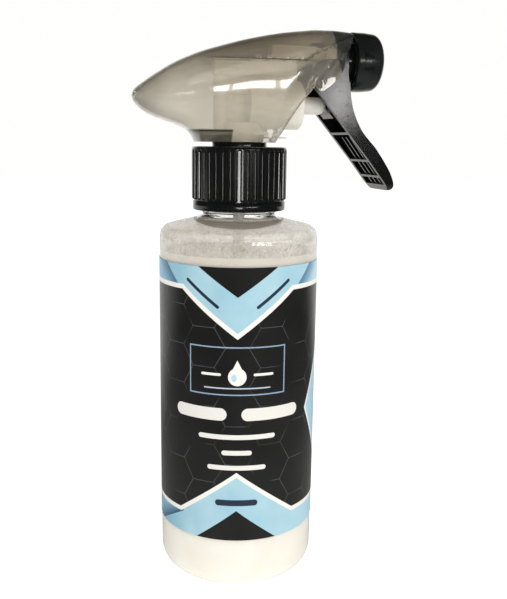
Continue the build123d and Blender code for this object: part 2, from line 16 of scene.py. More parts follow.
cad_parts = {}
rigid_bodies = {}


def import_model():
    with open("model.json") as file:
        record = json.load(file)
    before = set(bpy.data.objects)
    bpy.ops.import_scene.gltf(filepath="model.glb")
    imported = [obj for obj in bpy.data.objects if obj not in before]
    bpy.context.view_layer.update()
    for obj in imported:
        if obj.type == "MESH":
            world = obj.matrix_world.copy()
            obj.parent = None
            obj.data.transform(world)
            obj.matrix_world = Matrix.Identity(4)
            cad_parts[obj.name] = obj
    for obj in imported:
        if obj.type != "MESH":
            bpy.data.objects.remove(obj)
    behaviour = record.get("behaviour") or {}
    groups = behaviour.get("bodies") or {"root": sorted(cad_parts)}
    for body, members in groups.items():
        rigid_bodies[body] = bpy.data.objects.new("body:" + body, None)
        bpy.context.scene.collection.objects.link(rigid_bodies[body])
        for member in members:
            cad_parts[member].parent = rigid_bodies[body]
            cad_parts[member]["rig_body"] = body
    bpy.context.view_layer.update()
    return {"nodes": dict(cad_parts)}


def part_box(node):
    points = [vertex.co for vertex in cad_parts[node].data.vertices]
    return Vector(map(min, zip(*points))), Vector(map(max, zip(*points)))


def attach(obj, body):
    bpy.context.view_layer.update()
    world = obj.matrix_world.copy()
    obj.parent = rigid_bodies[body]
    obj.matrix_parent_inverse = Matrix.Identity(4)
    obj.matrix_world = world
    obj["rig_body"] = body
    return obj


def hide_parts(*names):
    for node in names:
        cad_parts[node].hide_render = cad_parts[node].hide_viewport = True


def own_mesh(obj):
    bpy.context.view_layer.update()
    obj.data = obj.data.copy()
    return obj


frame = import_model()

MM = 0.001
NODES = frame["nodes"]
SC = bpy.context.scene

VIEW_TURN = 13.5                        # degrees the camera stands round from -Y
FRONT_DEG = 270 - VIEW_TURN             # azimuth of the camera and of the label's centre
FRONT = math.radians(FRONT_DEG)
BODY_R = 28.0                           # bottle wall, outside
INNER_R = 27.3                          # bottle wall, inside
LABEL_R = 28.2
NECK_THREAD_Z = 140.4
THREAD_PITCH = 4.233
NOZZLE_Z = 183.5                        # nozzle axis
ROD_Z = 168.2                           # axis of piston rod and return spring


# =====================================================================================
# curves
# =====================================================================================
def smoothstep(low, high, value):
    t = min(1.0, max(0.0, (value - low) / (high - low)))
    return t * t * (3 - 2 * t)


def arc(cx, cy, radius, start, end, count):
    """Points on an arc between two angles in degrees."""
    angles = [math.radians(start + (end - start) * i / count) for i in range(count + 1)]
    return [(cx + radius * math.cos(a), cy + radius * math.sin(a)) for a in angles]


def rounded(points, radii, count):
    """Open polyline with its inner corners rounded, one radius for each inner point."""
    out = [points[0]]
    for before, corner, after, radius in zip(points, points[1:], points[2:], radii):
        corner = np.array(corner, float)
        back, ahead = np.array(before, float) - corner, np.array(after, float) - corner
        back_len, ahead_len = np.linalg.norm(back), np.linalg.norm(ahead)
        back, ahead = back / back_len, ahead / ahead_len
        half = math.acos(float(back @ ahead)) / 2
        reach = min(radius / math.tan(half), back_len * 0.49, ahead_len * 0.49)
        radius = reach * math.tan(half)
        middle = (back + ahead) / np.linalg.norm(back + ahead)
        centre = corner + middle * (radius / math.sin(half))
        first, last = corner + back * reach - centre, corner + ahead * reach - centre
        start = math.atan2(first[1], first[0])
        sweep = (math.atan2(last[1], last[0]) - start + math.pi) % (2 * math.pi) - math.pi
        for k in range(count + 1):
            t = start + sweep * k / count
            out.append((centre[0] + radius * math.cos(t), centre[1] + radius * math.sin(t)))
    out.append(points[-1])
    return out


def catmull(points, count):
    """Open Catmull-Rom curve with count steps to each span."""
    p = [np.array(q, float) for q in points]
    p = [2 * p[0] - p[1], *p, 2 * p[-1] - p[-2]]
    out = []
    for p0, p1, p2, p3 in zip(p, p[1:], p[2:], p[3:]):
        for k in range(count):
            t = k / count
            out.append(tuple(0.5 * ((2 * p1) + (-p0 + p2) * t
                                    + (2 * p0 - 5 * p1 + 4 * p2 - p3) * t * t
                                    + (-p0 + 3 * p1 - 3 * p2 + p3) * t ** 3)))
    out.append(tuple(p[-2]))
    return out


def smooth_table(table):
    """Monotone cubic through the (input, output) rows, held flat beyond the ends."""
    xs, ys = np.array([row[0] for row in table]), np.array([row[1] for row in table])
    span = np.diff(xs)
    rise = np.diff(ys) / span
    slope = np.zeros(len(xs))
    slope[0], slope[-1] = rise[0], rise[-1]
    for i in range(1, len(xs) - 1):
        if rise[i - 1] * rise[i] > 0:
            w1, w2 = 2 * span[i] + span[i - 1], span[i] + 2 * span[i - 1]
            slope[i] = (w1 + w2) / (w1 / rise[i - 1] + w2 / rise[i])

    def value(x):
        x = min(max(x, xs[0]), xs[-1])
        i = min(max(int(np.searchsorted(xs, x)) - 1, 0), len(span) - 1)
        t = (x - xs[i]) / span[i]
        return ((2 * t ** 3 - 3 * t ** 2 + 1) * ys[i]
                + (t ** 3 - 2 * t ** 2 + t) * span[i] * slope[i]
                + (-2 * t ** 3 + 3 * t ** 2) * ys[i + 1]
                + (t ** 3 - t ** 2) * span[i] * slope[i + 1])
    return value


# =====================================================================================
# meshes
# =====================================================================================
def shade(data, sharp):
    data.shade_smooth()
    data.set_sharp_from_angle(angle=math.radians(sharp))


def new_obj(name, verts, faces, mat=None, smooth=True, sharp=None, merge=0.0):
    """Object from points in mm; sharp is an edge angle in degrees, merge a distance in mm."""
    data = bpy.data.meshes.new(name)
    points = np.asarray(verts, float) * MM
    data.from_pydata([tuple(p) for p in points], [], [tuple(int(i) for i in f) for f in faces])
    data.update()
    if merge > 0:
        mesh = bmesh.new()
        mesh.from_mesh(data)
        bmesh.ops.remove_doubles(mesh, verts=mesh.verts, dist=merge * MM)
        bmesh.ops.recalc_face_normals(mesh, faces=mesh.faces)
        mesh.to_mesh(data)
        mesh.free()
    if smooth and sharp is not None:
        shade(data, sharp)
    elif smooth:
        data.shade_smooth()
    ob = bpy.data.objects.new(name, data)
    SC.collection.objects.link(ob)
    if mat is not None:
        data.materials.append(mat)
    return ob


def grid_faces(rows, cols, close_cols=True, close_rows=False):
    faces = []
    for i in range(rows if close_rows else rows - 1):
        i2 = (i + 1) % rows
        for j in range(cols if close_cols else cols - 1):
            j2 = (j + 1) % cols
            faces.append((i * cols + j, i * cols + j2, i2 * cols + j2, i2 * cols + j))
    return faces


def tube_faces(rows, cols):
    """Rings of points skinned along their length, with both ends capped."""
    ends = [tuple(range(cols - 1, -1, -1)), tuple((rows - 1) * cols + j for j in range(cols))]
    return grid_faces(rows, cols) + ends


def lathe(name, profile, count, mat, sharp, axis="Z", origin=(0, 0, 0), reshape=None):
    """Turn a closed profile of (radius, height) points about an axis.

    reshape(radius, height, angle) gives the radius where the piece isn't round.
    """
    verts = []
    for radius, height in profile:
        for j in range(count):
            t = 2 * math.pi * j / count
            r = radius if reshape is None else reshape(radius, height, t)
            c, s = r * math.cos(t), r * math.sin(t)
            local = (c, s, height) if axis == "Z" else (height, c, s)
            verts.append(tuple(o + p for o, p in zip(origin, local)))
    faces = grid_faces(len(profile), count, close_rows=True)
    return new_obj(name, verts, faces, mat, sharp=sharp, merge=0.0005)


def prism_xz(name, outline, y0, y1):
    """Closed (x, z) outline given thickness along y."""
    n = len(outline)
    verts = [(x, y0, z) for x, z in outline] + [(x, y1, z) for x, z in outline]
    faces = [tuple(range(n)), tuple(range(2 * n - 1, n - 1, -1))]
    faces += [(i, i + n, (i + 1) % n + n, (i + 1) % n) for i in range(n)]
    ob = new_obj(name, verts, faces, smooth=False)
    mesh = bmesh.new()
    mesh.from_mesh(ob.data)
    bmesh.ops.recalc_face_normals(mesh, faces=mesh.faces)
    mesh.to_mesh(ob.data)
    mesh.free()
    return ob


def thread(name, root_r, crest_r, mid_z, start, mat):
    """Helical ridge, fading in and out at its ends; start is in degrees."""
    root_w, crest_w, turns, per_turn, fade_deg = 2.4, 1.0, 1.5, 96, 28
    rows = int(per_turn * turns) + 1
    verts = []
    for i in range(rows):
        t = 2 * math.pi * turns * i / (rows - 1)
        full = smoothstep(0.0, per_turn * fade_deg / 360.0, min(i, rows - 1 - i))
        zc = mid_z + THREAD_PITCH * t / (2 * math.pi)
        crest = root_r + (crest_r - root_r) * max(full, 0.02)
        flank = crest - 0.15 * (crest - root_r)
        a = t + math.radians(start)
        for r, dz in ((root_r, -root_w / 2), (flank, -crest_w / 2 - 0.08),
                      (crest, -crest_w / 2 + 0.12), (crest, crest_w / 2 - 0.12),
                      (flank, crest_w / 2 + 0.08), (root_r, root_w / 2)):
            verts.append((r * math.cos(a), r * math.sin(a), zc + dz))
    return new_obj(name, verts, tube_faces(rows, 6), mat, sharp=40, merge=0.0005)


def join(objs):
    """Join the objects into the first one."""
    bpy.ops.object.select_all(action="DESELECT")
    for ob in objs:
        ob.select_set(True)
    bpy.context.view_layer.objects.active = objs[0]
    bpy.ops.object.join()
    objs[0].data.name = objs[0].name
    return objs[0]


def apply_mods(ob):
    graph = bpy.context.evaluated_depsgraph_get()
    data = bpy.data.meshes.new_from_object(ob.evaluated_get(graph),
                                           preserve_all_data_layers=True, depsgraph=graph)
    ob.modifiers.clear()
    ob.data = data


def boolean(ob, cutter, operation="DIFFERENCE"):
    mod = ob.modifiers.new("boolean", "BOOLEAN")
    mod.operation = operation
    mod.object = cutter
    mod.solver = "EXACT"
    apply_mods(ob)
    bpy.data.objects.remove(cutter)


def resurface(ob, mat, sharp):
    """One material and fresh shading for a piece that has been cut."""
    ob.data.materials.clear()
    ob.data.materials.append(mat)
    shade(ob.data, sharp)


def assign(ob, body, node=None):
    """Attach a piece to its moving body and hide the CAD node it stands for."""
    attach(ob, body)
    if node:
        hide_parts(node)


def refine(node, name, mat, bevel, slot):
    """A cleaned copy of a CAD node with rounded edges; it stands for that node."""
    data = NODES[node].data.copy()
    mesh = bmesh.new()
    mesh.from_mesh(data)
    bmesh.ops.remove_doubles(mesh, verts=mesh.verts, dist=0.002 * MM)
    bmesh.ops.dissolve_limit(mesh, angle_limit=math.radians(4.0), verts=mesh.verts,
                             edges=mesh.edges, delimit={"NORMAL"},
                             use_dissolve_boundaries=False)
    bmesh.ops.recalc_face_normals(mesh, faces=mesh.faces)
    mesh.to_mesh(data)
    mesh.free()
    data.materials.clear()
    data.materials.append(mat)
    data.shade_smooth()
    ob = bpy.data.objects.new(name, data)
    SC.collection.objects.link(ob)
    mod = ob.modifiers.new("edge", "BEVEL")
    mod.width = bevel * MM
    mod.segments = 2
    mod.limit_method = "ANGLE"
    mod.angle_limit = math.radians(32)
    mod.use_clamp_overlap = True
    mod.harden_normals = False
    mod = ob.modifiers.new("flats", "WEIGHTED_NORMAL")
    mod.mode = "FACE_AREA"
    mod.weight = 80
    mod.keep_sharp = False
    apply_mods(ob)
    assign(ob, NODES[node]["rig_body"], node)
    return ob


# =====================================================================================
# shader graphs: Value turns Python arithmetic into Math nodes
# =====================================================================================
class Graph:
    def __init__(self, owner, output):
        owner.use_nodes = True
        self.tree = owner.node_tree
        self.tree.nodes.clear()
        self.out = self.tree.nodes.new(output)

    def node(self, kind, inputs=None, **props):
        node = self.tree.nodes.new(kind)
        for key, value in props.items():
            setattr(node, key, value)
        for key, value in (inputs or {}).items():
            self.put(node.inputs[key], value)
        return node

    def put(self, socket, value):
        """Link a Value or output socket, or set a number or an RGB tuple."""
        if isinstance(value, Value):
            value = value.socket
        if hasattr(value, "is_output"):
            self.tree.links.new(value, socket)
        else:
            socket.default_value = (*value, 1) if isinstance(value, tuple) else value

    def split(self, vector):
        outputs = self.node("ShaderNodeSeparateXYZ", {0: vector}).outputs
        return [Value(self, outputs[i]) for i in range(3)]


class Material(Graph):
    """One material; self.point is the object coordinate in millimetres."""

    def __init__(self, name):
        self.mat = bpy.data.materials.new(name)
        super().__init__(self.mat, "ShaderNodeOutputMaterial")
        place = self.node("ShaderNodeTexCoord").outputs["Object"]
        self.point = self.node("ShaderNodeVectorMath", {0: place, "Scale": 1000.0},
                               operation="SCALE").outputs[0]

    def xyz(self):
        return self.split(self.point)

    def vec(self, x, y, z):
        return self.node("ShaderNodeCombineXYZ", {0: x, 1: y, 2: z}).outputs[0]

    def noise(self, scale, detail=2.0, rough=0.5, vec=None, distortion=0.0):
        tex = self.node("ShaderNodeTexNoise", {
            "Vector": self.point if vec is None else vec, "Scale": scale, "Detail": detail,
            "Roughness": rough, "Distortion": distortion})
        return Value(self, tex.outputs[0])

    def voronoi(self, scale):
        tex = self.node("ShaderNodeTexVoronoi", {"Vector": self.point, "Scale": scale})
        return Value(self, tex.outputs["Distance"])

    def mix(self, fac, a, b):
        """Colour a where fac is 0, b where it is 1."""
        return self.node("ShaderNodeMix", {0: fac, 6: a, 7: b}, data_type="RGBA").outputs[2]

    def bump(self, height, dist, strength):
        """Bump normal; dist is in mm."""
        return self.node("ShaderNodeBump", {"Strength": strength, "Distance": dist * MM,
                                            "Height": height}).outputs[0]

    def principled(self, color, rough, bump=None, **inputs):
        """Underscores in the extra input names stand for spaces."""
        values = {"Base Color": color, "Roughness": rough}
        if bump is not None:
            values["Normal"] = bump
        values.update((key.replace("_", " "), value) for key, value in inputs.items())
        return self.node("ShaderNodeBsdfPrincipled", values).outputs[0]

    def mix_shader(self, fac, a, b):
        return self.node("ShaderNodeMixShader", {0: fac, 1: a, 2: b}).outputs[0]

    def surface(self, shader):
        self.put(self.out.inputs["Surface"], shader)
        return self.mat

    def let_light_in(self, shader, tint):
        """Shadow and diffuse rays pass straight through, lighting the inside without noise."""
        rays = self.node("ShaderNodeLightPath").outputs
        clear = self.node("ShaderNodeBsdfTransparent", {"Color": tint}).outputs[0]
        fac = Value(self, rays["Is Shadow Ray"]).max(Value(self, rays["Is Diffuse Ray"]))
        return self.surface(self.mix_shader(fac, shader, clear))


class Value:
    def __init__(self, graph, socket):
        self.graph, self.socket = graph, socket

    def op(self, kind, *others):
        inputs = dict(enumerate((self, *others)))
        return Value(self.graph,
                     self.graph.node("ShaderNodeMath", inputs, operation=kind).outputs[0])

    def __add__(self, o): return self.op("ADD", o)
    def __sub__(self, o): return self.op("SUBTRACT", o)
    def __rsub__(self, o): return (self * -1.0) + o
    def __mul__(self, o): return self.op("MULTIPLY", o)
    def __truediv__(self, o): return self.op("DIVIDE", o)
    def __neg__(self): return self * -1.0
    def abs(self): return self.op("ABSOLUTE")
    def sqrt(self): return self.op("SQRT")
    def min(self, o): return self.op("MINIMUM", o)
    def max(self, o): return self.op("MAXIMUM", o)
    def mod(self, o): return self.op("FLOORED_MODULO", o)
    def frac(self): return self.op("FRACT")
    def atan2(self, o): return self.op("ARCTAN2", o)

    def ramp(self, start, end, low=0.0, high=1.0, curve="LINEAR"):
        """low at start, high at end, clamped."""
        node = self.graph.node("ShaderNodeMapRange", {
            "Value": self, "From Min": start, "From Max": end, "To Min": low,
            "To Max": high}, clamp=True, interpolation_type=curve)
        return Value(self.graph, node.outputs[0])

    def step(self, width=0.06):
        """1 where positive, with an edge of the given width."""
        return self.ramp(-width / 2, width / 2)


def srgb(*levels):
    """Linear colour from 0-255 sRGB levels."""
    def linear(c):
        c = c / 255.0
        return c / 12.92 if c <= 0.04045 else ((c + 0.055) / 1.055) ** 2.4
    return tuple(linear(c) for c in levels)


# =====================================================================================
# materials
# =====================================================================================
def black_plastic(name, rough, base=(0.0032, 0.0036, 0.0036)):
    mat = Material(name)
    fine = mat.noise(scale=1.6)
    broad = mat.noise(scale=0.12)
    worn = mat.noise(scale=0.6, detail=4.0, rough=0.65, distortion=0.6).ramp(0.60, 0.78)
    col = mat.mix(broad.ramp(0.3, 0.7), base, tuple(c * 1.7 for c in base))
    col = mat.mix(worn * 0.25, col, (0.014, 0.014, 0.0135))
    roughness = fine * 0.03 + worn * 0.10 + broad * 0.08 + (rough - 0.06)
    bump = mat.bump(fine * 0.05 + mat.noise(scale=0.22) * 1.6, dist=0.02, strength=0.5)
    return mat.surface(mat.principled(col, roughness, bump, IOR=1.5, Coat_Weight=0.15,
                                      Coat_Roughness=0.08))


def natural_pp(name, tint, rough):
    mat = Material(name)
    flow = mat.noise(scale=0.25, detail=3.0, distortion=1.2)
    fine = mat.noise(scale=6.0, detail=3.0, rough=0.6)
    col = mat.mix(flow.ramp(0.35, 0.65), tint, tuple(c * 0.92 for c in tint))
    bump = mat.bump(fine * 0.5 + flow * 1.5, dist=0.02, strength=0.5)
    shader = mat.principled(col, fine * 0.08 + rough, bump, Subsurface_Weight=0.35,
                            Subsurface_Scale=1.0, IOR=1.49)
    shader.node.inputs["Subsurface Radius"].default_value = (0.0022, 0.0018, 0.0013)
    return mat.surface(shader)


def soft_rubber():
    mat = Material("soft_valve_rubber")
    fine = mat.noise(scale=7.0, detail=3.0)
    col = mat.mix(fine, (0.10, 0.10, 0.10), (0.16, 0.155, 0.15))
    bump = mat.bump(fine, dist=0.02, strength=0.5)
    return mat.surface(mat.principled(col, fine * 0.1 + 0.5, bump))


def foam_liner():
    mat = Material("foam_liner")
    cell = mat.voronoi(scale=3.0)
    col = mat.mix(cell, (0.86, 0.86, 0.84), (0.70, 0.70, 0.68))
    return mat.surface(mat.principled(col, 0.7, mat.bump(cell, dist=0.05, strength=0.6)))


def bright_steel():
    mat = Material("bright_steel")
    fine = mat.noise(scale=3.0, detail=4.0, rough=0.6)
    col = mat.mix(fine, (0.55, 0.55, 0.55), (0.72, 0.72, 0.71))
    bump = mat.bump(fine, dist=0.01, strength=0.4)
    return mat.surface(mat.principled(col, fine * 0.12 + 0.14, bump, Metallic=1.0))


def milky_tube():
    mat = Material("milky_tube_pe")
    fine = mat.noise(scale=1.5, detail=3.0)
    col = mat.mix(fine, (0.86, 0.85, 0.82), (0.78, 0.77, 0.74))
    bump = mat.bump(fine, dist=0.02, strength=0.4)
    return mat.surface(mat.principled(col, fine * 0.1 + 0.3, bump, Transmission_Weight=0.35))


def clear_pet():
    mat = Material("clear_pet")
    x, y, z = mat.xyz()
    wave = mat.noise(scale=0.10, distortion=0.4)
    fine = mat.noise(scale=1.2)
    col = mat.mix(wave.ramp(0.3, 0.7), (0.99, 0.985, 0.975), (0.965, 0.955, 0.935))
    bump = mat.bump(wave * 6.0 + fine * 0.25, dist=0.05, strength=0.35)
    wall = mat.principled(col, fine * 0.03 + 0.015, bump, Transmission_Weight=1.0, IOR=1.45)

    # inner skin of the head space: a thin milky film broken up by fine condensation
    r = (x * x + y * y).sqrt()
    inside = ((27.62 - r).step(0.05) * (z - 117.6).step(0.6)
              * (1.0 - (z - 128.6).ramp(0.0, 1.2)) * (r - 12.0).step(1.0))
    dots = (0.42 - mat.voronoi(scale=0.9)).ramp(0.0, 0.12)
    cloud = mat.noise(scale=0.35, detail=4.0, rough=0.6, distortion=0.5)
    patch = mat.noise(scale=0.16, detail=3.0, rough=0.6, distortion=1.0).ramp(0.35, 0.65)
    fog = inside * (cloud.ramp(0.25, 0.75) * 0.22 + patch * 0.22 + 0.22 + dots * 0.12)

    # film colour: painted light makes it paler towards the camera's right, and painted glints
    # make bright patches, with darker specks between
    film = mat.mix(cloud, srgb(250, 245, 237), srgb(228, 221, 211))
    cos_f, sin_f = math.cos(FRONT), math.sin(FRONT)
    forward, right = x * cos_f + y * sin_f, (y * cos_f - x * sin_f) * 1.42
    oval = (right * right + forward * forward).sqrt()
    # painted light: paler towards the camera's right, the side the lamps are on
    film = mat.mix((right / 26.0).ramp(0.0, 1.0) * 0.8, film, srgb(255, 253, 250))
    glint_speck_noise = mat.noise(scale=0.40, detail=4.0, rough=0.65, distortion=1.2)
    # painted glints: bright patches laid on the film
    film = mat.mix(glint_speck_noise.ramp(0.53, 0.58), film, srgb(255, 254, 252))
    film = mat.mix((1.0 - glint_speck_noise.ramp(0.37, 0.42)) * 0.65, film, srgb(150, 143, 132))
    # painted shade: a dark oval on the shoulder round the closure, where the closure shades it
    under = ((1.0 - (oval - 22.3).ramp(0.0, 1.1)) * (z - 126.0).step(0.3)
             * (r - 14.8).ramp(-0.6, 0.5))
    film = mat.mix(under * 0.95, film, srgb(30, 28, 25))
    fog = fog.max(under * inside * 0.92)

    diffuse = mat.node("ShaderNodeBsdfDiffuse", {"Color": film}).outputs[0]
    through = mat.node("ShaderNodeBsdfTranslucent", {"Color": srgb(236, 230, 220)}).outputs[0]
    misted = mat.mix_shader(0.4, diffuse, through)
    return mat.let_light_in(mat.mix_shader(fog, wall, misted), tint=(0.97, 0.965, 0.95))


def milky_liquid():
    mat = Material("milky_lubricant")
    z = mat.xyz()[2]
    cloud = mat.noise(scale=0.06, detail=3.0, distortion=0.8)
    tiny = mat.noise(scale=1.6, detail=3.0, rough=0.6)
    col = mat.mix(cloud.ramp(0.3, 0.7), srgb(250, 247, 240), srgb(243, 239, 229))
    # greyer and mottled towards the surface
    col = mat.mix(z.ramp(111.0, 117.5), col, srgb(212, 205, 194))
    mottle = mat.noise(scale=0.3, detail=3.0, rough=0.6) * 0.5
    col = mat.mix(mottle * z.ramp(112.0, 116.0), col, srgb(240, 236, 228))
    shader = mat.principled(col, tiny * 0.1 + 0.12, mat.bump(tiny, dist=0.02, strength=0.3),
                            Subsurface_Weight=0.3, Subsurface_Scale=1.0, IOR=1.34)
    shader.node.inputs["Subsurface Radius"].default_value = (0.006, 0.0055, 0.0045)
    return mat.surface(shader)


def droplet():
    mat = Material("droplet")
    soft = mat.noise(scale=0.8, detail=1.0)
    col = mat.mix(soft, (0.99, 0.985, 0.97), (0.95, 0.94, 0.92))
    shader = mat.principled(col, soft * 0.02 + 0.01, Transmission_Weight=1.0, IOR=1.33)
    return mat.let_light_in(shader, tint=(0.95, 0.95, 0.93))


def smoky_pp():
    mat = Material("smoky_translucent_pp")
    x, y, z = mat.xyz()
    cloud = mat.noise(scale=0.05, detail=3.0, distortion=0.5)
    fine = mat.noise(scale=5.0, detail=3.0, rough=0.6)
    streak = mat.noise(scale=0.5, detail=3.0, rough=0.55, vec=mat.vec(x * 0.25, y, z * 1.2))
    # painted shade: pale below and darker towards the crest, and darker again where shade is
    # painted on the wall
    low = mat.mix(cloud.ramp(0.3, 0.7), srgb(240, 237, 229), srgb(232, 228, 219))
    top = mat.mix(cloud.ramp(0.3, 0.7), srgb(180, 172, 156), srgb(168, 159, 142))
    height = z - x.max(0.0) * 0.14 + x.min(0.0) * 0.12 - 165.5
    col = mat.mix(height.ramp(0.0, 24.0), low, top)
    # painted shade on the wall, read from the point attribute
    wall_shade = mat.node("ShaderNodeAttribute", attribute_name="wall_shade").outputs["Fac"]
    col = mat.mix(wall_shade, col, srgb(112, 104, 90))
    # painted shade: a dark line along the crease where the crest meets the belly
    line = ((0.26 - (z - 182.45).abs()).ramp(0.0, 0.12) * (x + 15.0).ramp(0.0, 8.0)
            * (20.2 - x).step(0.4))
    col = mat.mix(line * 0.8, col, srgb(62, 56, 47))
    col = mat.mix(streak.ramp(0.4, 0.75) * 0.12, col, srgb(156, 148, 132))
    # nozzle end, then the foot behind x = -4.9 and the seam along its top
    front = (x - 31.0).ramp(0.0, 0.4) * (z - 183.5 + (x - 31.0) * 3.0).ramp(0.0, 1.5)
    col = mat.mix(front * 0.85, col, srgb(80, 85, 86))
    foot = (159.1 - z).step(0.3) * (-4.9 - x).step(0.5)
    col = mat.mix(foot * 0.8, col, srgb(96, 92, 80))
    seam = (0.5 - (z - 159.1).abs()).ramp(0.0, 0.3) * (-4.9 - x).step(0.5)
    col = mat.mix(seam * 0.9, col, srgb(44, 42, 36))
    bump = mat.bump(fine * 0.02 + mat.noise(scale=0.16) * 1.8, dist=0.02, strength=0.3)
    shader = mat.principled(col, fine * 0.03 + 0.085, bump, Transmission_Weight=0.84,
                            IOR=1.42, Coat_Weight=1.0, Coat_Roughness=0.03, Coat_IOR=1.5)
    return mat.let_light_in(shader, tint=(0.78, 0.76, 0.70))


def printed_label():
    """The print: masks in z and in arc length across from the front centre, layered in turn."""
    mat = Material("printed_wrap_label")
    mix = mat.mix
    x, y, z = mat.xyz()
    cos_f, sin_f = math.cos(FRONT), math.sin(FRONT)
    forward = x * cos_f + y * sin_f
    right = x * (-sin_f) + y * cos_f
    across = right.atan2(forward) * LABEL_R      # positive to the camera's right
    off = across.abs()

    # black ground with a faint, broken pattern of hexagon lines
    wash = mat.noise(scale=0.05, detail=3.0)
    black = mix(wash.ramp(0.3, 0.7), (0.0090, 0.0088, 0.0088), (0.0155, 0.0151, 0.0148))
    hexagon = 13.6                               # width across the flats
    hex_u, hex_v = z / hexagon, across / hexagon

    def cell(u, v):
        return u.mod(1.0) - 0.5, v.mod(1.7320508) - 0.8660254
    ax, ay = cell(hex_u, hex_v)
    bx, by = cell(hex_u - 0.5, hex_v - 0.8660254)
    near = ((bx * bx + by * by) - (ax * ax + ay * ay)).step(0.0001)
    hx = (ax * near + bx * (1.0 - near)).abs()
    hy = (ay * near + by * (1.0 - near)).abs()
    edge = (0.5 - hx.max(hx * 0.5 + hy * 0.8660254)) * hexagon
    line = (0.09 - edge).step(0.10)
    keep = mat.noise(scale=0.075, detail=1.0, vec=mat.vec(across, z, 3.0)).ramp(0.44, 0.56)
    col = mix(line * keep * 0.6, black, srgb(104, 110, 116))

    # colours of the chevron bands
    lift = mat.noise(scale=0.09)
    blue = mix(lift.ramp(0.3, 0.7), srgb(156, 198, 215), srgb(174, 210, 222))
    # painted shade darkens the blue towards the left, and painted light pales it towards the
    # right
    blue = mix(((-17.0 - across) / 16.0).ramp(0.0, 1.0), blue, srgb(122, 178, 206))
    blue = mix(((across - 17.0) / 16.0).ramp(0.0, 1.0), blue, srgb(176, 214, 232))
    white = srgb(240, 238, 232)

    # upper chevron: white edge, blue band, shaded fold, black above
    white_top = (off * 0.78 + 91.4).min(107.2)
    blue_top = (off * 0.78 + 93.4).min(108.8)
    col = mix((z - white_top).step(), col, white)
    col = mix((z - blue_top).step(), col, blue)
    fold = off - ((z - 108.6) * 1.0 + 22.2)
    shadow = fold.step() * (1.0 - (fold / 9.0).ramp(0.0, 1.0)) * (z - blue_top).step()
    # the fold's shade is deeper on the left: painted shade on the side away from the lamps
    dark = mix((across * -1.0).step(), srgb(52, 112, 146), srgb(28, 86, 122))
    col = mix(shadow * 0.9, col, dark)
    col = mix((z - (off * 0.724 + 105.5)).step(), col, black)

    # lower chevron, its fold shaded on the left only
    white_low = (44.7 - off * 0.733).max(28.9)
    blue_low = (42.9 - off * 0.733).max(27.3)
    col = mix((white_low - z).step(), col, white)
    col = mix((blue_low - z).step(), col, blue)
    fold = off - ((27.3 - z) * 1.75 + 20.6)
    shadow = (fold.step() * (1.0 - (fold / 10.0).ramp(0.0, 1.0)) * (blue_low - z).step()
              * (28.9 - z).step() * (-20.2 - across).step())
    col = mix(shadow, col, srgb(30, 78, 112))
    col = mix(((30.7 - off * 0.773) - z).step(), col, black)

    # between the chevrons: a light panel beyond a waisted edge on the right, and a grey painted
    # reflection on the left
    dz = (z - 64.0).abs()
    waist = dz * 0.5 + dz * dz * 0.004 + 27.9
    between = (z - white_low).step() * (white_top - z).step()
    col = mix((across - waist).step() * between, col, white)
    col = mix((across - (waist + 1.1)).step() * between, col, blue)
    # painted reflection: a soft grey sheen on the left between the chevrons
    painted_reflection_left = ((off - 66.0) * -1.0).step() * ((-across) - (waist + 2.0)).step() * between
    col = mix(painted_reflection_left * 0.5, col, srgb(70, 70, 68))

    # thin frame with a plain drop in it
    frame_d = (off - 17.0).max((z - 80.5).abs() - 8.4)
    rim = (0.22 - (frame_d + 0.22).abs()).step()
    col = mix(rim * 0.9, col, srgb(150, 176, 200))
    drop_z = z - 79.4
    half_width = ((drop_z * -0.5 + 2.6).max(0.0)).min(5.0)
    ball = 3.1 - (across * across + (z - 78.6) * (z - 78.6)).sqrt()
    cone = (half_width - off - 0.12).min(drop_z + 1.2)
    col = mix(ball.max(cone * 0.8).step(), col, white)
    glint = 0.9 - ((across + 1.1) * (across + 1.1) + (z - 78.2) * (z - 78.2) * 0.5).sqrt()
    col = mix(glint.step() * 0.7, col, srgb(150, 206, 232))

    # round-ended bars standing for lines of words
    words, navy, tilt = srgb(232, 230, 224), srgb(34, 52, 70), math.atan(0.76)
    bars = (  # start and end across, middle z, thickness, colour, tilt
        (-12.5, -5.5, 79.3, 0.9, white, 0.0),
        (5.5, 12.5, 79.3, 0.9, white, 0.0),
        (-11.5, 11.5, 74.6, 0.45, srgb(186, 200, 212), 0.0),
        (-23.0, -3.5, 65.4, 4.4, words, 0.0),
        (1.5, 23.0, 65.4, 4.4, words, 0.0),
        (-13.5, 13.5, 57.4, 1.7, words, 0.0),
        (-5.2, 5.2, 51.8, 1.7, words, 0.0),
        (-10.2, 10.2, 46.4, 1.7, words, 0.0),
        (-7.4, 7.4, 33.6, 2.2, navy, 0.0),
        (-19.8, -4.8, 106.4, 1.1, navy, -tilt),
        (4.8, 19.8, 106.4, 1.1, navy, tilt))
    for start, end, mid_z, height, colour, turn in bars:
        px, pz = across - (start + end) / 2, z - mid_z
        if turn:
            c, s = math.cos(turn), math.sin(turn)
            px, pz = px * c + pz * s, pz * c - px * s
        qx = (px.abs() - ((end - start) / 2 - height / 2)).max(0.0)
        outside = (qx * qx + pz * pz).sqrt() - height / 2
        col = mix((outside * -1.0).step(), col, colour)

    # back: a light box with thin ragged lines
    from_back = (across.abs() - 88.6).abs()
    box = (19.0 - from_back).step() * (z - 36.0).step() * (96.0 - z).step()
    col = mix(box, col, srgb(214, 222, 226))
    gaps = (((z * 0.5).frac() - 0.5).abs() - 0.28).step(0.05)
    row_seed = mat.vec(0.0, 0.0, (z * 0.5).op("FLOOR"))
    ragged = (mat.noise(scale=0.35, detail=0.0, vec=row_seed) * 8.0 + 11.5 - from_back).step()
    text = (1.0 - gaps) * ragged * box * ((z - 40.0).step() * (90.0 - z).step()) * 0.75
    col = mix(text, col, srgb(96, 104, 112))

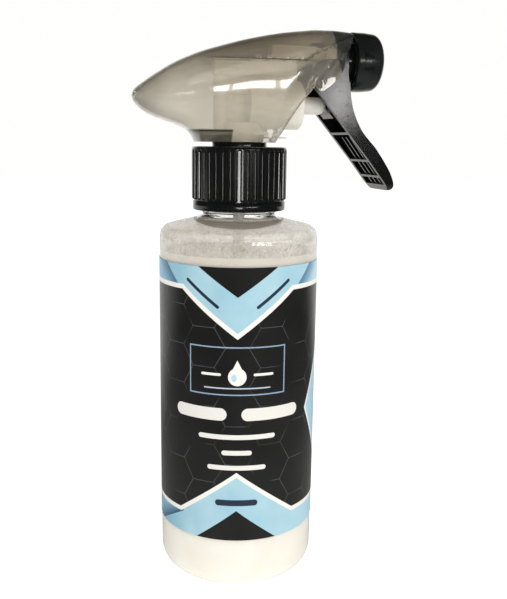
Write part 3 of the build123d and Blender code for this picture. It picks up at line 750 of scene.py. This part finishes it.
    # satin lacquer with faint handling marks
    fine = mat.noise(scale=4.0, detail=3.0, rough=0.6)
    marks = mat.noise(scale=0.35, detail=4.0, rough=0.7, distortion=0.8).ramp(0.55, 0.8)
    grain = mat.noise(scale=14.0)
    relief_height = fine * 0.3 + grain * 0.15 + mat.noise(scale=0.16) * 3.0
    return mat.surface(mat.principled(
        col, fine * 0.05 + marks * 0.08 + 0.27, mat.bump(relief_height, dist=0.02, strength=0.4),
        IOR=1.5, Specular_IOR_Level=0.38, Coat_Weight=0.1, Coat_Roughness=0.12))


BLACK = black_plastic("black_moulded_pp", rough=0.17)
BLACK_GLOSS = black_plastic("black_gloss_pp", rough=0.13)
BLACK_CAP = black_plastic("black_cap_pp", rough=0.2, base=(0.0068, 0.0080, 0.0080))
NATURAL = natural_pp("milky_pp", tint=(0.80, 0.765, 0.70), rough=0.32)
WHITE = natural_pp("white_pp", tint=(0.82, 0.79, 0.74), rough=0.42)
RUBBER = soft_rubber()
FOAM = foam_liner()
STEEL = bright_steel()
TUBE = milky_tube()
SEAL = natural_pp("seal_pe", tint=(0.83, 0.82, 0.80), rough=0.4)
PET = clear_pet()
LIQUID = milky_liquid()
DROP = droplet()
SMOKY = smoky_pp()
LABEL = printed_label()

# =====================================================================================
# bottle
# =====================================================================================
DOME_R, DOME_H = 17.5, 2.6              # raised middle of the base


def base_dome(lift, steps, count):
    """Dome points (radius, z) at the given steps out of count, raised by lift."""
    return [(DOME_R * t, lift + DOME_H * (1 - t ** 2.2)) for t in [i / count for i in steps]]


# bottle profiles: (radius, z)
outer = base_dome(0.0, range(14), 14)
outer += [(DOME_R, 0.03), (18.2, 0.0), (21.0, 0.0)]
outer += arc(21.0, 7.0, 7.0, -90, 0, 16)[1:]
outer += [(BODY_R, z) for z in (19.0, 19.35, 60.0, 116.0, 122.3)]
outer += catmull([(BODY_R, 122.3), (27.72, 124.2), (27.0, 125.6), (25.9, 126.5),
                  (24.3, 127.0)], 5)[1:]
outer += [(19.0, 128.3), (15.5, 129.2), (13.9, 129.65)]
outer += catmull([(13.9, 129.65), (13.1, 129.95), (12.7, 130.4), (12.6, 131.05)], 4)[1:]
outer += [(13.05, 131.25), (13.15, 131.45), (13.05, 131.7), (12.6, 131.85), (12.55, 132.2),
          (12.55, 149.1), (12.2, 149.5)]
inner = [(11.1, 149.5), (10.8, 149.2), (10.8, 131.3)]
inner += catmull([(10.8, 131.3), (11.1, 130.2), (11.9, 129.4), (13.0, 129.0)], 4)[1:]
inner += [(23.9, 126.25)]
inner += catmull([(23.9, 126.25), (25.3, 125.8), (26.3, 125.0), (27.0, 123.8),
                  (INNER_R, 122.0)], 5)[1:]
inner += [(INNER_R, 60.0), (INNER_R, 7.2)] + arc(21.0, 7.2, 6.3, 0, -90, 14)[1:]
inner += [(DOME_R, 0.9)] + base_dome(0.9, range(9, -1, -1), 10)


def bottle_wobble(r, h, t):
    """Blown PET is never quite round."""
    if h > 126 or r < 20:
        return r
    return r + 0.035 * math.sin(2 * t + 0.7) * math.sin(h * 0.045) - 0.02


bottle = lathe("bottle_shell", outer + inner, 192, PET, sharp=60, reshape=bottle_wobble)
boolean(bottle, thread("neck_thread", 12.4, 13.75, NECK_THREAD_Z, 0, PET), "UNION")
shade(bottle.data, sharp=60)
assign(bottle, "base", "bottle")

# the liquid overlaps the bottle's inner skin by a hair so that no air film shows
WET_R = 27.33
liquid_profile = [(2.3, 3.4)] + base_dome(0.87, range(2, 10), 10) + [(DOME_R, 0.87)]
liquid_profile += arc(21.03, 7.2, 6.33, -90, 0, 14)
liquid_profile += [(WET_R, 60.0), (WET_R, 117.6), (27.3, 118.35), (27.0, 118.15),
                   (26.3, 118.02), (25.0, 118.0), (12.0, 118.0), (3.2, 118.0),
                   (2.6, 118.12), (2.3, 118.4)]
liquid = lathe("lubricant", liquid_profile, 160, LIQUID, sharp=50)
assign(liquid, "base", "lubricant_fill")

# beads of liquid clinging to the inside of the shoulder and wall
rng = random.Random(71)
bead = bmesh.new()
bmesh.ops.create_icosphere(bead, subdivisions=2, radius=1.0)
bead_verts = [v.co.copy() for v in bead.verts]
bead_faces = [[v.index for v in f.verts] for f in bead.faces]
bead.free()
verts, faces = [], []
for k in range(420):
    t = rng.uniform(0, 2 * math.pi)
    height = rng.choice([rng.uniform(118.4, 125.0), rng.uniform(118.4, 122.0),
                         rng.uniform(116.0, 119.0)])
    wall_r = 27.28
    if height >= 122:
        wall_r -= 1.9 * ((height - 122) / 4.0) ** 2
    size = 0.16 + 0.55 * rng.random() ** 3.2
    c, s = math.cos(t), math.sin(t)
    spin = Matrix.Rotation(rng.uniform(0, 6.28), 3, "Z")
    faces += [[i + len(verts) for i in f] for f in bead_faces]
    for co in bead_verts:
        q = spin @ co
        rng.random()                    # a draw for each point spaces out the beads' values
        px = wall_r - size * 0.25 + q.x * 0.45 * size
        py = q.y * size
        verts.append((px * c - py * s, px * s + py * c, height + q.z * size))
drops = new_obj("clinging_droplets", verts, faces, DROP)
assign(drops, "base")

# =====================================================================================
# label: a thin sleeve with an open seam at the back
# =====================================================================================
COLS, SEAM = 240, math.radians(1.2)
label_profile = [(28.03, 19.62), (LABEL_R, 19.66), (LABEL_R, 40.0), (LABEL_R, 60.0),
                 (LABEL_R, 80.0), (LABEL_R, 100.0), (LABEL_R, 115.34), (28.03, 115.38)]
verts = []
for r, z in label_profile:
    for j in range(COLS + 1):
        t = FRONT + math.pi + SEAM / 2 + (2 * math.pi - SEAM) * j / COLS
        verts.append((r * math.cos(t), r * math.sin(t), z))
rows = len(label_profile)
faces = grid_faces(rows, COLS + 1, close_cols=False, close_rows=True)
faces += [tuple(i * (COLS + 1) for i in range(rows - 1, -1, -1)),
          tuple(i * (COLS + 1) + COLS for i in range(rows))]
label = new_obj("wrap_label_film", verts, faces, LABEL, sharp=40, merge=0.0001)
assign(label, "base", "wrap_label")

# =====================================================================================
# closure: ribs with rounded feet, rounded rim, raised boss, inner thread
# =====================================================================================
RIBS, PER_RIB = 40, 14
RIB_R = 16.4                            # radius at which rib widths are measured
RIB_HALF = 0.66
RIB_FOOT_Z = 136.25                     # centre of a rib's rounded foot
ARCH_Z = 151.9                          # centre of the arch that ends a groove

# (radius, z); where the radius is None the ribs set it
closure_profile = [(15.8, 132.1), (16.1, 132.18), (16.2, 132.45), (16.2, 133.6), (16.2, 135.0)]
closure_profile += [(None, 135.3 + i * 0.16) for i in range(13)]
closure_profile += [(None, 137.22 + i * 1.0) for i in range(1, 14)]
closure_profile += [(None, 150.22 + i * 0.2) for i in range(1, 15)]
closure_profile += [
    (16.5, 153.2), (16.34, 153.5), (16.05, 153.72), (15.6, 153.8), (12.0, 153.8),
    (9.75, 153.82), (9.5, 153.95), (9.5, 155.1), (9.38, 155.4), (9.15, 155.5), (7.5, 155.5),
    (7.3, 155.35), (7.3, 152.0), (7.5, 151.95), (13.7, 151.95), (14.1, 151.6), (14.1, 140.0),
    (14.1, 132.6), (14.35, 132.15), (15.0, 132.1)]


def rib(t, z):
    """Rib height from 0 to 1 at an angle and a height."""
    pitch = 2 * math.pi / RIBS
    side = (((t / pitch) + 0.5) % 1.0 - 0.5) * pitch * RIB_R
    beyond = math.hypot(side, z - max(z, RIB_FOOT_Z)) - RIB_HALF
    proud = smoothstep(0.0, 0.30, -beyond)
    if z <= ARCH_Z:
        return proud
    half_pitch = pitch * RIB_R / 2
    from_groove = max(half_pitch - abs(side), 0)
    beyond = math.hypot(from_groove, z - ARCH_Z) - (half_pitch - RIB_HALF)
    return max(proud, smoothstep(0.0, 0.25, beyond))


def closure_radius(r, h, t):
    return 15.93 + 0.62 * rib(t, h) if r is None else r


closure = lathe("ribbed_closure", closure_profile, RIBS * PER_RIB, BLACK, sharp=48,
                reshape=closure_radius)
inner_thread = thread("closure_thread", 14.25, 12.85,
                      NECK_THREAD_Z - 1.8 - 0.25 * THREAD_PITCH, -90, BLACK)
closure = join([closure, inner_thread])
assign(closure, "closure", "screw_closure")

# =====================================================================================
# nozzle cap
# =====================================================================================
CAP_X, CAP_LENGTH = 39.5, 10.3
MARK_X = 43.6                           # middle of the raised marks
MARK_DEPTH = 0.42
# (radius, distance along the axis): outside and front recess, then the inside
cap_profile = rounded([(9.0, 0.0), (10.15, 0.0), (10.12, 4.6), (9.6, CAP_LENGTH),
                       (3.4, CAP_LENGTH), (2.9, 8.9), (1.5, 7.1), (0.35, 6.9)],
                      [0.5, 6.0, 4.2, 0.35, 0.6, 0.5], 9)
cap_profile += [(0.35, 5.97), (2.0, 5.95), (6.48, 5.95), (6.48, 4.4), (6.8, 4.25), (6.8, 3.35),
                (6.48, 3.2), (6.48, 0.25), (6.75, 0.0), (7.45, 0.0), (7.7, 0.25), (7.7, 4.7),
                (8.7, 4.7), (8.7, 0.3)]
cap = lathe("nozzle_cap_shell", cap_profile, 144, BLACK_CAP, sharp=42, axis="X",
            origin=(CAP_X, 0, NOZZLE_Z))


def relief(outline, mid_angle):
    """A raised mark wrapped on the tapered cap: outline in (along x, around) mm."""
    pts = []
    for (a, b), (c, d) in zip(outline, outline[1:] + outline[:1]):
        n = max(2, int(math.hypot(c - a, d - b) / 0.4))
        pts += [(a + (c - a) * k / n, b + (d - b) * k / n) for k in range(n)]
    cx, cy = sum(q[0] for q in pts) / len(pts), sum(q[1] for q in pts) / len(pts)

    def wrapped(along, around, height):
        x = MARK_X + along
        r = 10.2 - 0.6 * (x - CAP_X) / CAP_LENGTH + height
        t = mid_angle + around / 10.0
        return x, r * math.cos(t), NOZZLE_Z + r * math.sin(t)

    # rings of (scale about the centre, height above the cap)
    rings = [(1.0, -0.15), (1.0, MARK_DEPTH * 0.6), (0.93, MARK_DEPTH), (0.6, MARK_DEPTH),
             (0.3, MARK_DEPTH)]
    verts = [wrapped(cx + (q[0] - cx) * scale, cy + (q[1] - cy) * scale, height)
             for scale, height in rings for q in pts]
    verts.append(wrapped(cx, cy, MARK_DEPTH))
    n = len(pts)
    last = (len(rings) - 1) * n
    faces = grid_faces(len(rings), n)
    faces += [(last + j, last + (j + 1) % n, len(verts) - 1) for j in range(n)]
    faces += [tuple(range(n - 1, -1, -1))]
    return new_obj("mark", verts, faces, BLACK, sharp=30, merge=0.0001)


# an arrowhead and a bar on the camera's side, and again on the far side
ARROW = [(-1.9, -1.5), (1.7, 0.0), (-1.9, 1.5)]
BAR = [(-1.9, -0.55), (1.9, -0.55), (1.9, 0.55), (-1.9, 0.55)]
near_side = math.pi + 0.32
marks = [relief(outline, near_side - offset + turn)
         for turn in (0.0, math.pi) for outline, offset in ((ARROW, 0.42), (BAR, 0.05))]

# small round hole through the underside
HOLE_X, HOLE_R, HOLE_POINTS = 42.6, 0.7, 24
angles = [math.pi * 2 * k / HOLE_POINTS for k in range(HOLE_POINTS)]
verts = [(HOLE_X + HOLE_R * math.cos(a), HOLE_R * math.sin(a), z)
         for z in (171.0, 175.9) for a in angles]
boolean(cap, new_obj("hole_cutter", verts, tube_faces(2, HOLE_POINTS), smooth=False,
                     merge=0.0001))
resurface(cap, BLACK_CAP, sharp=42)
cap = join([cap] + marks)
assign(cap, "nozzle", "nozzle_cap")

# =====================================================================================
# piston rod: (radius, distance along the axis), from its ball end to its cupped end
# =====================================================================================
ROD_R = 3.0
rod_profile = [(ROD_R * math.sin(math.radians(a)), 17.55 + ROD_R * math.cos(math.radians(a)))
               for a in range(0, 91, 10)]
rod_profile += [(ROD_R, 12.0), (2.85, 11.9), (2.85, 11.2), (ROD_R, 11.1), (ROD_R, 6.0),
                (3.2, 5.75), (6.2, 5.7), (6.4, 5.5), (6.4, 5.05), (6.2, 4.9), (5.6, 4.9),
                (5.6, 0.2), (5.4, 0.0), (5.1, 0.0), (4.9, 0.2), (4.9, 3.3), (4.8, 3.4), (0, 3.4)]
rod = lathe("piston_rod_turned", rod_profile, 96, WHITE, sharp=42, axis="X",
            origin=(10.6, 0, ROD_Z))
assign(rod, "plunger", "piston_rod")

# =====================================================================================
# shroud
# =====================================================================================
# crest line: (x, z)
top_z = smooth_table([
    (-37.3, 170.3), (-37.05, 171.2), (-36, 172.7), (-34.3, 174.1), (-30.9, 176.6),
    (-27.5, 178.8), (-24.2, 180.8), (-20.8, 182.5), (-14, 185.3), (-7.1, 187.4), (0, 189.4),
    (7, 191), (14, 192.3), (21.2, 193.2), (26.6, 193.7), (32.1, 193.75), (39.2, 193.35)])
# lower line: (x, z)
bottom_z = smooth_table([
    (-37.3, 170.3), (-37.05, 169.3), (-36, 167.6), (-34.4, 166.0), (-31.1, 164.0),
    (-27.7, 162.7), (-24.3, 161.6), (-20.9, 160.4), (-18.6, 159.2), (-17.0, 157.6),
    (-15.9, 155.6), (-14.9, 153.0), (-13.5, 151.2), (-11.0, 150.4), (-8, 150), (39.2, 150)])
# half width: (x, y)
half_width = smooth_table([
    (-37.3, 0.0), (-37.05, 1.9), (-36, 4.0), (-34, 6.0), (-30, 8.7), (-25, 10.8), (-20, 12.2),
    (-14, 13.1), (-5, 13.45), (5, 13.5), (15, 13.35), (25, 12.9), (31, 12.4), (35, 11.7),
    (39.2, 10.5)])
# squareness of the section: (x, superellipse power)
squareness = smooth_table([(-37.3, 2.0), (-14, 2.2), (10, 2.35), (25, 2.7), (39.2, 2.9)])
# height of the widest line: (x, z)
widest_z = smooth_table([(-37.3, 170.3), (-30, 170.4), (-20, 171.6), (-10, 173.4), (0, 174.6),
                         (15, 175.3), (39.2, 176.2)])
# rear and front borders of the bevelled strip: (z, x)
strip_rear = smooth_table([
    (150, 6.0), (156.2, 8.1), (162.8, 10.1), (170, 12.3), (175.2, 15.0), (179.1, 17.4),
    (182.7, 20.1), (185.8, 25.0), (188.5, 31.0), (196, 45.0)])
strip_front = smooth_table([
    (150, 6.5), (156.2, 9.4), (162.9, 13.8), (167.6, 17.2), (170.7, 20.0), (174.4, 23.4),
    (177.8, 26.2), (181.5, 29.3), (186.2, 33.5), (189, 37.5), (196, 50.0)])
CREASE_Z = 182.35


def side_shape(x, y, z):
    """Set y in for the ledge under the crest and the bevelled strip; the cheek stands proud."""
    if abs(y) < 1e-6:
        return y
    share = min(1.0, abs(y) / max(half_width(x), 1e-6))
    rear, front = strip_rear(z), strip_front(z)
    # the crest stands back from the belly above the crease, behind the strip
    ledge = smoothstep(-18.0, -8.0, x) * (1.0 - smoothstep(-0.5, 0.5, x - rear))
    crest = smoothstep(CREASE_Z - 0.05, CREASE_Z + 0.35, z)
    inset = ledge * crest * (1.05 + 0.35 * smoothstep(-8, 10, x))
    inset += ledge * math.exp(-((z - CREASE_Z - 0.25) / 0.28) ** 2) * 0.35
    # the strip turns inwards up to its front border, where the cheek begins
    past = x - rear
    if past > -0.2:
        depth = 1.35 * min(max(past, 0) / max(front - rear, 1.0), 1.0)
        cheek = smoothstep(-0.15, 0.35, x - front)
        inset += (depth * (1 - cheek) + cheek * 0.15) * (1.0 - smoothstep(190.5, 192.5, z))
    return math.copysign(max(abs(y) - inset * share, 0.0), y)


def shroud_form(inset, stations, count, x0, x1):
    """Superelliptic sections from x0 to x1, closed at both ends, set in by inset."""
    verts = []
    for i in range(stations):
        x = x0 + (x1 - x0) * (i / (stations - 1)) ** 1.35
        top, bottom, power = top_z(x), bottom_z(x), squareness(x)
        mid = min(max(widest_z(x), bottom + (top - bottom) * 0.42),
                  bottom + (top - bottom) * 0.62)
        top, bottom, width = top - inset, bottom + inset, max(half_width(x) - inset, 0.02)
        for j in range(count):
            a = 2 * math.pi * (j + 0.5) / count
            ca, sa = math.cos(a), math.sin(a)
            y = width * math.copysign(abs(ca) ** (2 / power), ca)
            reach = (top - mid) if sa >= 0 else (mid - bottom)
            z = mid + reach * math.copysign(abs(sa) ** (2 / power), sa)
            verts.append((x, side_shape(x, y, z), z))
    return verts, tube_faces(stations, count)


def painted_wall_shade(x, z):
    """How much the wall is painted darker at the crest, strip, cheek and tail: painted shade."""
    past_rear, past_front = x - strip_rear(z), x - strip_front(z)
    crest = (smoothstep(-18.0, -8.0, x) * (1.0 - smoothstep(-0.6, 0.4, past_rear))
             * smoothstep(182.2, 182.8, z) * 0.28 * (1.0 - 0.85 * smoothstep(10.0, 22.0, x)))
    strip = (smoothstep(-0.3, 0.3, past_rear) * (1.0 - smoothstep(-0.3, 0.5, past_front))
             * (0.06 + 0.24 * smoothstep(163.0, 178.0, z)))
    cheek = smoothstep(-0.2, 0.6, past_front) * 0.45
    tail = 0.38 * (1.0 - smoothstep(-37.0, -22.0, x))
    return max(0.0, min(1.0, max(crest, strip, cheek, tail)))


stations, count = ((150, 220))
shroud = new_obj("smoky_shroud", *shroud_form(0.0, stations, count, -37.28, 39.0), SMOKY,
                 merge=0.0002)
# hollow with a 1.25 mm wall, open at the nozzle end
boolean(shroud, new_obj("core", *shroud_form(1.25, 70, 110, -35.6, 41.0), merge=0.0002))
# cut away the lower front along this (x, z) edge
front_cut = [(10.4, 140.0)]
front_cut += catmull([(10.4, 155.6), (14.6, 162.9), (17.6, 167.4), (20.2, 170.7),
                      (23.3, 174.3)], 4)
front_cut += [(23.6, 174.2)]
front_cut += catmull([(24.6, 173.0), (25.7, 172.6), (28.8, 174.6), (31.6, 177.3),
                      (33.3, 180.0), (34.0, 182.7), (34.7, 185.4), (36.2, 187.6),
                      (37.7, 190.0), (38.6, 193.0), (38.8, 196.0)], 5)
front_cut += [(60.0, 196.0), (60.0, 140.0)]
boolean(shroud, prism_xz("front_cutter", front_cut, -30, 30))
foot_cut = [(-60, 120), (60, 120), (60, 155.3), (-60, 155.3)]
boolean(shroud, prism_xz("foot_cutter", foot_cut, -30, 30))
mesh = bmesh.new()
mesh.from_mesh(shroud.data)
bmesh.ops.dissolve_degenerate(mesh, dist=0.02 * MM, edges=mesh.edges)
mesh.to_mesh(shroud.data)
mesh.free()
resurface(shroud, SMOKY, sharp=38)
# painted shade for each point, darker at the crest, strip, cheek and tail
wall_shade = shroud.data.attributes.new("wall_shade", "FLOAT", "POINT")
wall_shade.data.foreach_set("value", [painted_wall_shade(v.co.x / MM, v.co.z / MM)
                                 for v in shroud.data.vertices])
assign(shroud, "head", "shroud")

# =====================================================================================
# pieces that keep their CAD shape: (CAD node, name, material, bevel in mm, slot)
# =====================================================================================
refined = {row[0]: refine(*row) for row in (
    ("trigger", "trigger_lever", BLACK_GLOSS, 0.22, "black_pp"),
    ("pump_body", "pump_body_moulding", NATURAL, 0.2, "natural_pp"),
    ("outlet_plug", "outlet_plug_oval", BLACK, 0.25, "black_pp"),
    ("nozzle_adapter", "nozzle_adapter_barrel", BLACK, 0.15, "black_pp"),
    ("valve_housing", "valve_housing_moulding", NATURAL, 0.15, "natural_pp"),
    ("swirl_insert", "swirl_insert_pin", WHITE, 0.06, "white_pp"),
    ("piston_seal", "piston_lip_seal", SEAL, 0.1, "seal_pe"),
    ("discharge_valve", "discharge_disc", RUBBER, 0.1, "soft_rubber"),
    ("nozzle_seal", "nozzle_seal_ring", RUBBER, 0.08, "soft_rubber"),
    ("neck_gasket", "neck_gasket_ring", FOAM, 0.12, "foam_liner"),
    ("dip_tube", "dip_tube_drawn", TUBE, 0.08, "tube_pe"))}
trigger = refined["trigger"]

# =====================================================================================
# inlet ball and return spring
# =====================================================================================
mesh = bmesh.new()
bmesh.ops.create_uvsphere(mesh, u_segments=48, v_segments=24, radius=1.985 * MM)
data = bpy.data.meshes.new("inlet_ball_polished")
mesh.to_mesh(data)
mesh.free()
low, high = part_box("inlet_ball")
data.transform(Matrix.Translation((low + high) / 2))
data.shade_smooth()
data.materials.append(STEEL)
ball = bpy.data.objects.new("inlet_ball_polished", data)
SC.collection.objects.link(ball)
assign(ball, "ball", "inlet_ball")

WIRE_R, COIL_R = 0.35, 4.2
TURNS, PER_TURN, WIRE_POINTS = 4.0, 48, 12
CLOSED = 0.12                           # share of the wire in each closed end
low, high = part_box("return_spring")
x0, x1 = low.x / MM + WIRE_R, high.x / MM - WIRE_R
rows = int(TURNS * PER_TURN) + 1
verts = []
for i in range(rows):
    t = i / (rows - 1)
    middle = min(1.0, max(0.0, (t - CLOSED) / 0.76))
    x = x0 + (x1 - x0) * (0.03 * min(t / CLOSED, 1) + 0.94 * middle
                          + 0.03 * max((t - 0.88) / CLOSED, 0))
    a = 2 * math.pi * TURNS * t
    for j in range(WIRE_POINTS):
        b = 2 * math.pi * j / WIRE_POINTS
        r = COIL_R + WIRE_R * math.cos(b)
        verts.append((x + WIRE_R * math.sin(b), r * math.cos(a), ROD_Z + r * math.sin(a)))
spring = new_obj("return_spring_coil", verts, tube_faces(rows, WIRE_POINTS), STEEL, sharp=50,
                 merge=0.0001)
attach(spring, "plunger")
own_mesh(spring)
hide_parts("return_spring")


# =====================================================================================
# floor
# =====================================================================================
def pale_floor():
    """Pale and slightly glowing; reflections see it dim near the bottle, bright behind."""
    mat = Material("pale_floor")
    col = mat.mix(mat.noise(scale=0.01, detail=3.0), (0.80, 0.80, 0.79), (0.84, 0.84, 0.83))
    diffuse = mat.node("ShaderNodeBsdfDiffuse", {"Color": col}).outputs[0]
    glow = mat.node("ShaderNodeEmission", {"Color": (1.0, 0.995, 0.985),
                                           "Strength": 0.64}).outputs[0]
    seen = mat.node("ShaderNodeAddShader", {0: diffuse, 1: glow}).outputs[0]
    length = mat.node("ShaderNodeVectorMath", {0: mat.point}, operation="LENGTH")
    distance = Value(mat, length.outputs["Value"])
    behind = mat.xyz()[1].ramp(90.0, 320.0)
    strength = ((1.0 - distance.ramp(90.0, 300.0)) * 0.30 + 0.05).max(behind * 0.9)
    mirrored = mat.node("ShaderNodeEmission", {"Color": (1.0, 0.99, 0.97),
                                               "Strength": strength}).outputs[0]
    glossy = mat.node("ShaderNodeLightPath").outputs["Is Glossy Ray"]
    return mat.surface(mat.mix_shader(glossy, seen, mirrored))


floor = new_obj("floor", [(-3000, -3000, 0), (3000, -3000, 0), (3000, 3000, 0),
                          (-3000, 3000, 0)], [(0, 1, 2, 3)], pale_floor(), smooth=False)
floor.location.z = -0.00002

# =====================================================================================
# world: bright behind the bottle, dark overhead, even for diffuse and camera rays
# =====================================================================================
view_turn = math.radians(VIEW_TURN)
world = bpy.data.worlds.new("studio")
SC.world = world
sky = Graph(world, "ShaderNodeOutputWorld")
direction = sky.node("ShaderNodeTexCoord").outputs["Generated"]
turned_direction = sky.node("ShaderNodeVectorRotate", {"Vector": direction, "Angle": view_turn},
                            rotation_type="Z_AXIS").outputs[0]
_, away, upward = sky.split(turned_direction)
back = away.ramp(0.60, 0.88, curve="SMOOTHSTEP")
overhead = upward.ramp(0.25, 0.65, low=1.0, high=0.12, curve="SMOOTHSTEP")
strength = (back * 0.97 + 0.05) * overhead
rays = sky.node("ShaderNodeLightPath").outputs
for ray_kind, level in (("Is Diffuse Ray", 0.52), ("Is Camera Ray", 1.0)):
    strength = sky.node("ShaderNodeMix", {0: rays[ray_kind], 2: strength, 3: level},
                        data_type="FLOAT").outputs[0]
background = sky.node("ShaderNodeBackground", {"Color": (1.0, 0.995, 0.985),
                                               "Strength": strength})
sky.put(sky.out.inputs["Surface"], background.outputs[0])


# =====================================================================================
# lights, in metres
# =====================================================================================
def softbox(name, direction, width, height, radiance, dist=1.3, aim=(0.0, 0.0, 0.12)):
    """Rectangular light facing aim from dist away along direction."""
    light = bpy.data.lights.new(name, "AREA")
    light.shape = "RECTANGLE"
    light.size, light.size_y = width, height
    light.energy = radiance * width * height * math.pi
    light.color = (1, 0.985, 0.96)
    ob = bpy.data.objects.new(name, light)
    SC.collection.objects.link(ob)
    unit = Vector(direction).normalized()
    ob.location = Vector(aim) + unit * dist
    ob.rotation_mode = "QUATERNION"
    ob.rotation_quaternion = unit.to_track_quat("Z", "Y")
    return ob


def turned(azimuth, elevation):
    """Direction from the bottle, azimuth degrees round to the right of the camera."""
    a, e = math.radians(FRONT_DEG + azimuth), math.radians(elevation)
    return (math.cos(a) * math.cos(e), math.sin(a) * math.cos(e), math.sin(e))


def link_light(light, name, ob, exclude=False):
    """Light only this object, or everything but it."""
    group = bpy.data.collections.new(name)
    group.objects.link(ob)
    if exclude:
        group.collection_objects[0].light_linking.link_state = "EXCLUDE"
    light.light_linking.receiver_collection = group


for i, (azimuth, width) in enumerate(((20.5, 0.11), (27.5, 0.15), (35.3, 0.16), (43.0, 0.14))):
    pane = softbox("window_pane_%d" % i, turned(azimuth, 4.1), width=width, height=0.088,
                   radiance=10.0, aim=(0.01, 0, 0.160))
    link_light(pane, "window_pane_%d_receivers" % i, trigger, exclude=True)
slit = softbox("low_slit", turned(2.0, 0.0), width=0.26, height=0.13, radiance=19.0,
               aim=(0.0, 0, 0.085))
link_light(slit, "rib_light_receivers", closure)
window = softbox("shoulder_window", turned(50.0, 9.0), width=1.5, height=0.10, radiance=5.0,
                 aim=(0.0, 0.0, 0.125))
link_light(window, "shoulder_window_receivers", bottle)
slit = softbox("lever_slit", (484.0, -1222.0, 90.0), width=0.06, height=0.10, radiance=13.0,
               aim=(0.0, 0.0, 0.155))
link_light(slit, "lever_slit_receivers", trigger)
for fill in (softbox("front_fill", turned(16.0, 34.0), width=1.0, height=0.8, radiance=3.0,
                     dist=1.5),
             softbox("left_fill", turned(-58.0, 20.0), width=0.6, height=0.9, radiance=0.3,
                     dist=1.5)):
    fill.visible_glossy = False

# =====================================================================================
# camera and render settings
# =====================================================================================
cam_data = bpy.data.cameras.new("photo_camera")
cam = bpy.data.objects.new("photo_camera", cam_data)
SC.collection.objects.link(cam)
cam_data.sensor_width = 36.0
cam_data.lens = 47.6774624
cam_data.clip_start, cam_data.clip_end = 0.01, 20.0
pitch, roll, yaw = (math.radians(v) for v in (11.22, 0.75, 1.14))
ahead = Vector((math.sin(yaw) * math.cos(pitch), math.cos(yaw) * math.cos(pitch),
                -math.sin(pitch)))
level = Vector((math.cos(yaw), -math.sin(yaw), 0))
down = Vector((-math.sin(yaw) * math.sin(pitch), -math.cos(yaw) * math.sin(pitch),
               -math.cos(pitch)))
right = level * math.cos(roll) - down * math.sin(roll)
down = level * math.sin(roll) + down * math.cos(roll)
place = Vector((0, -0.2820, 0.1554))
turn = Matrix.Rotation(-view_turn, 3, "Z")
matrix = Matrix((turn @ right, -(turn @ down), -(turn @ ahead))).transposed().to_4x4()
matrix.translation = turn @ place
cam.matrix_world = matrix
SC.camera = cam

SC.view_settings.view_transform = "Standard"
SC.view_settings.look = "None"
SC.view_settings.exposure = 0.0
SC.cycles.use_denoising = True
SC.cycles.max_bounces = 16
SC.cycles.transmission_bounces = 14
SC.cycles.glossy_bounces = 6
SC.cycles.diffuse_bounces = 4
SC.cycles.transparent_max_bounces = 16
SC.cycles.sample_clamp_indirect = 6.0
SC.cycles.blur_glossy = 0.5
SC.cycles.caustics_reflective = False
SC.cycles.caustics_refractive = True
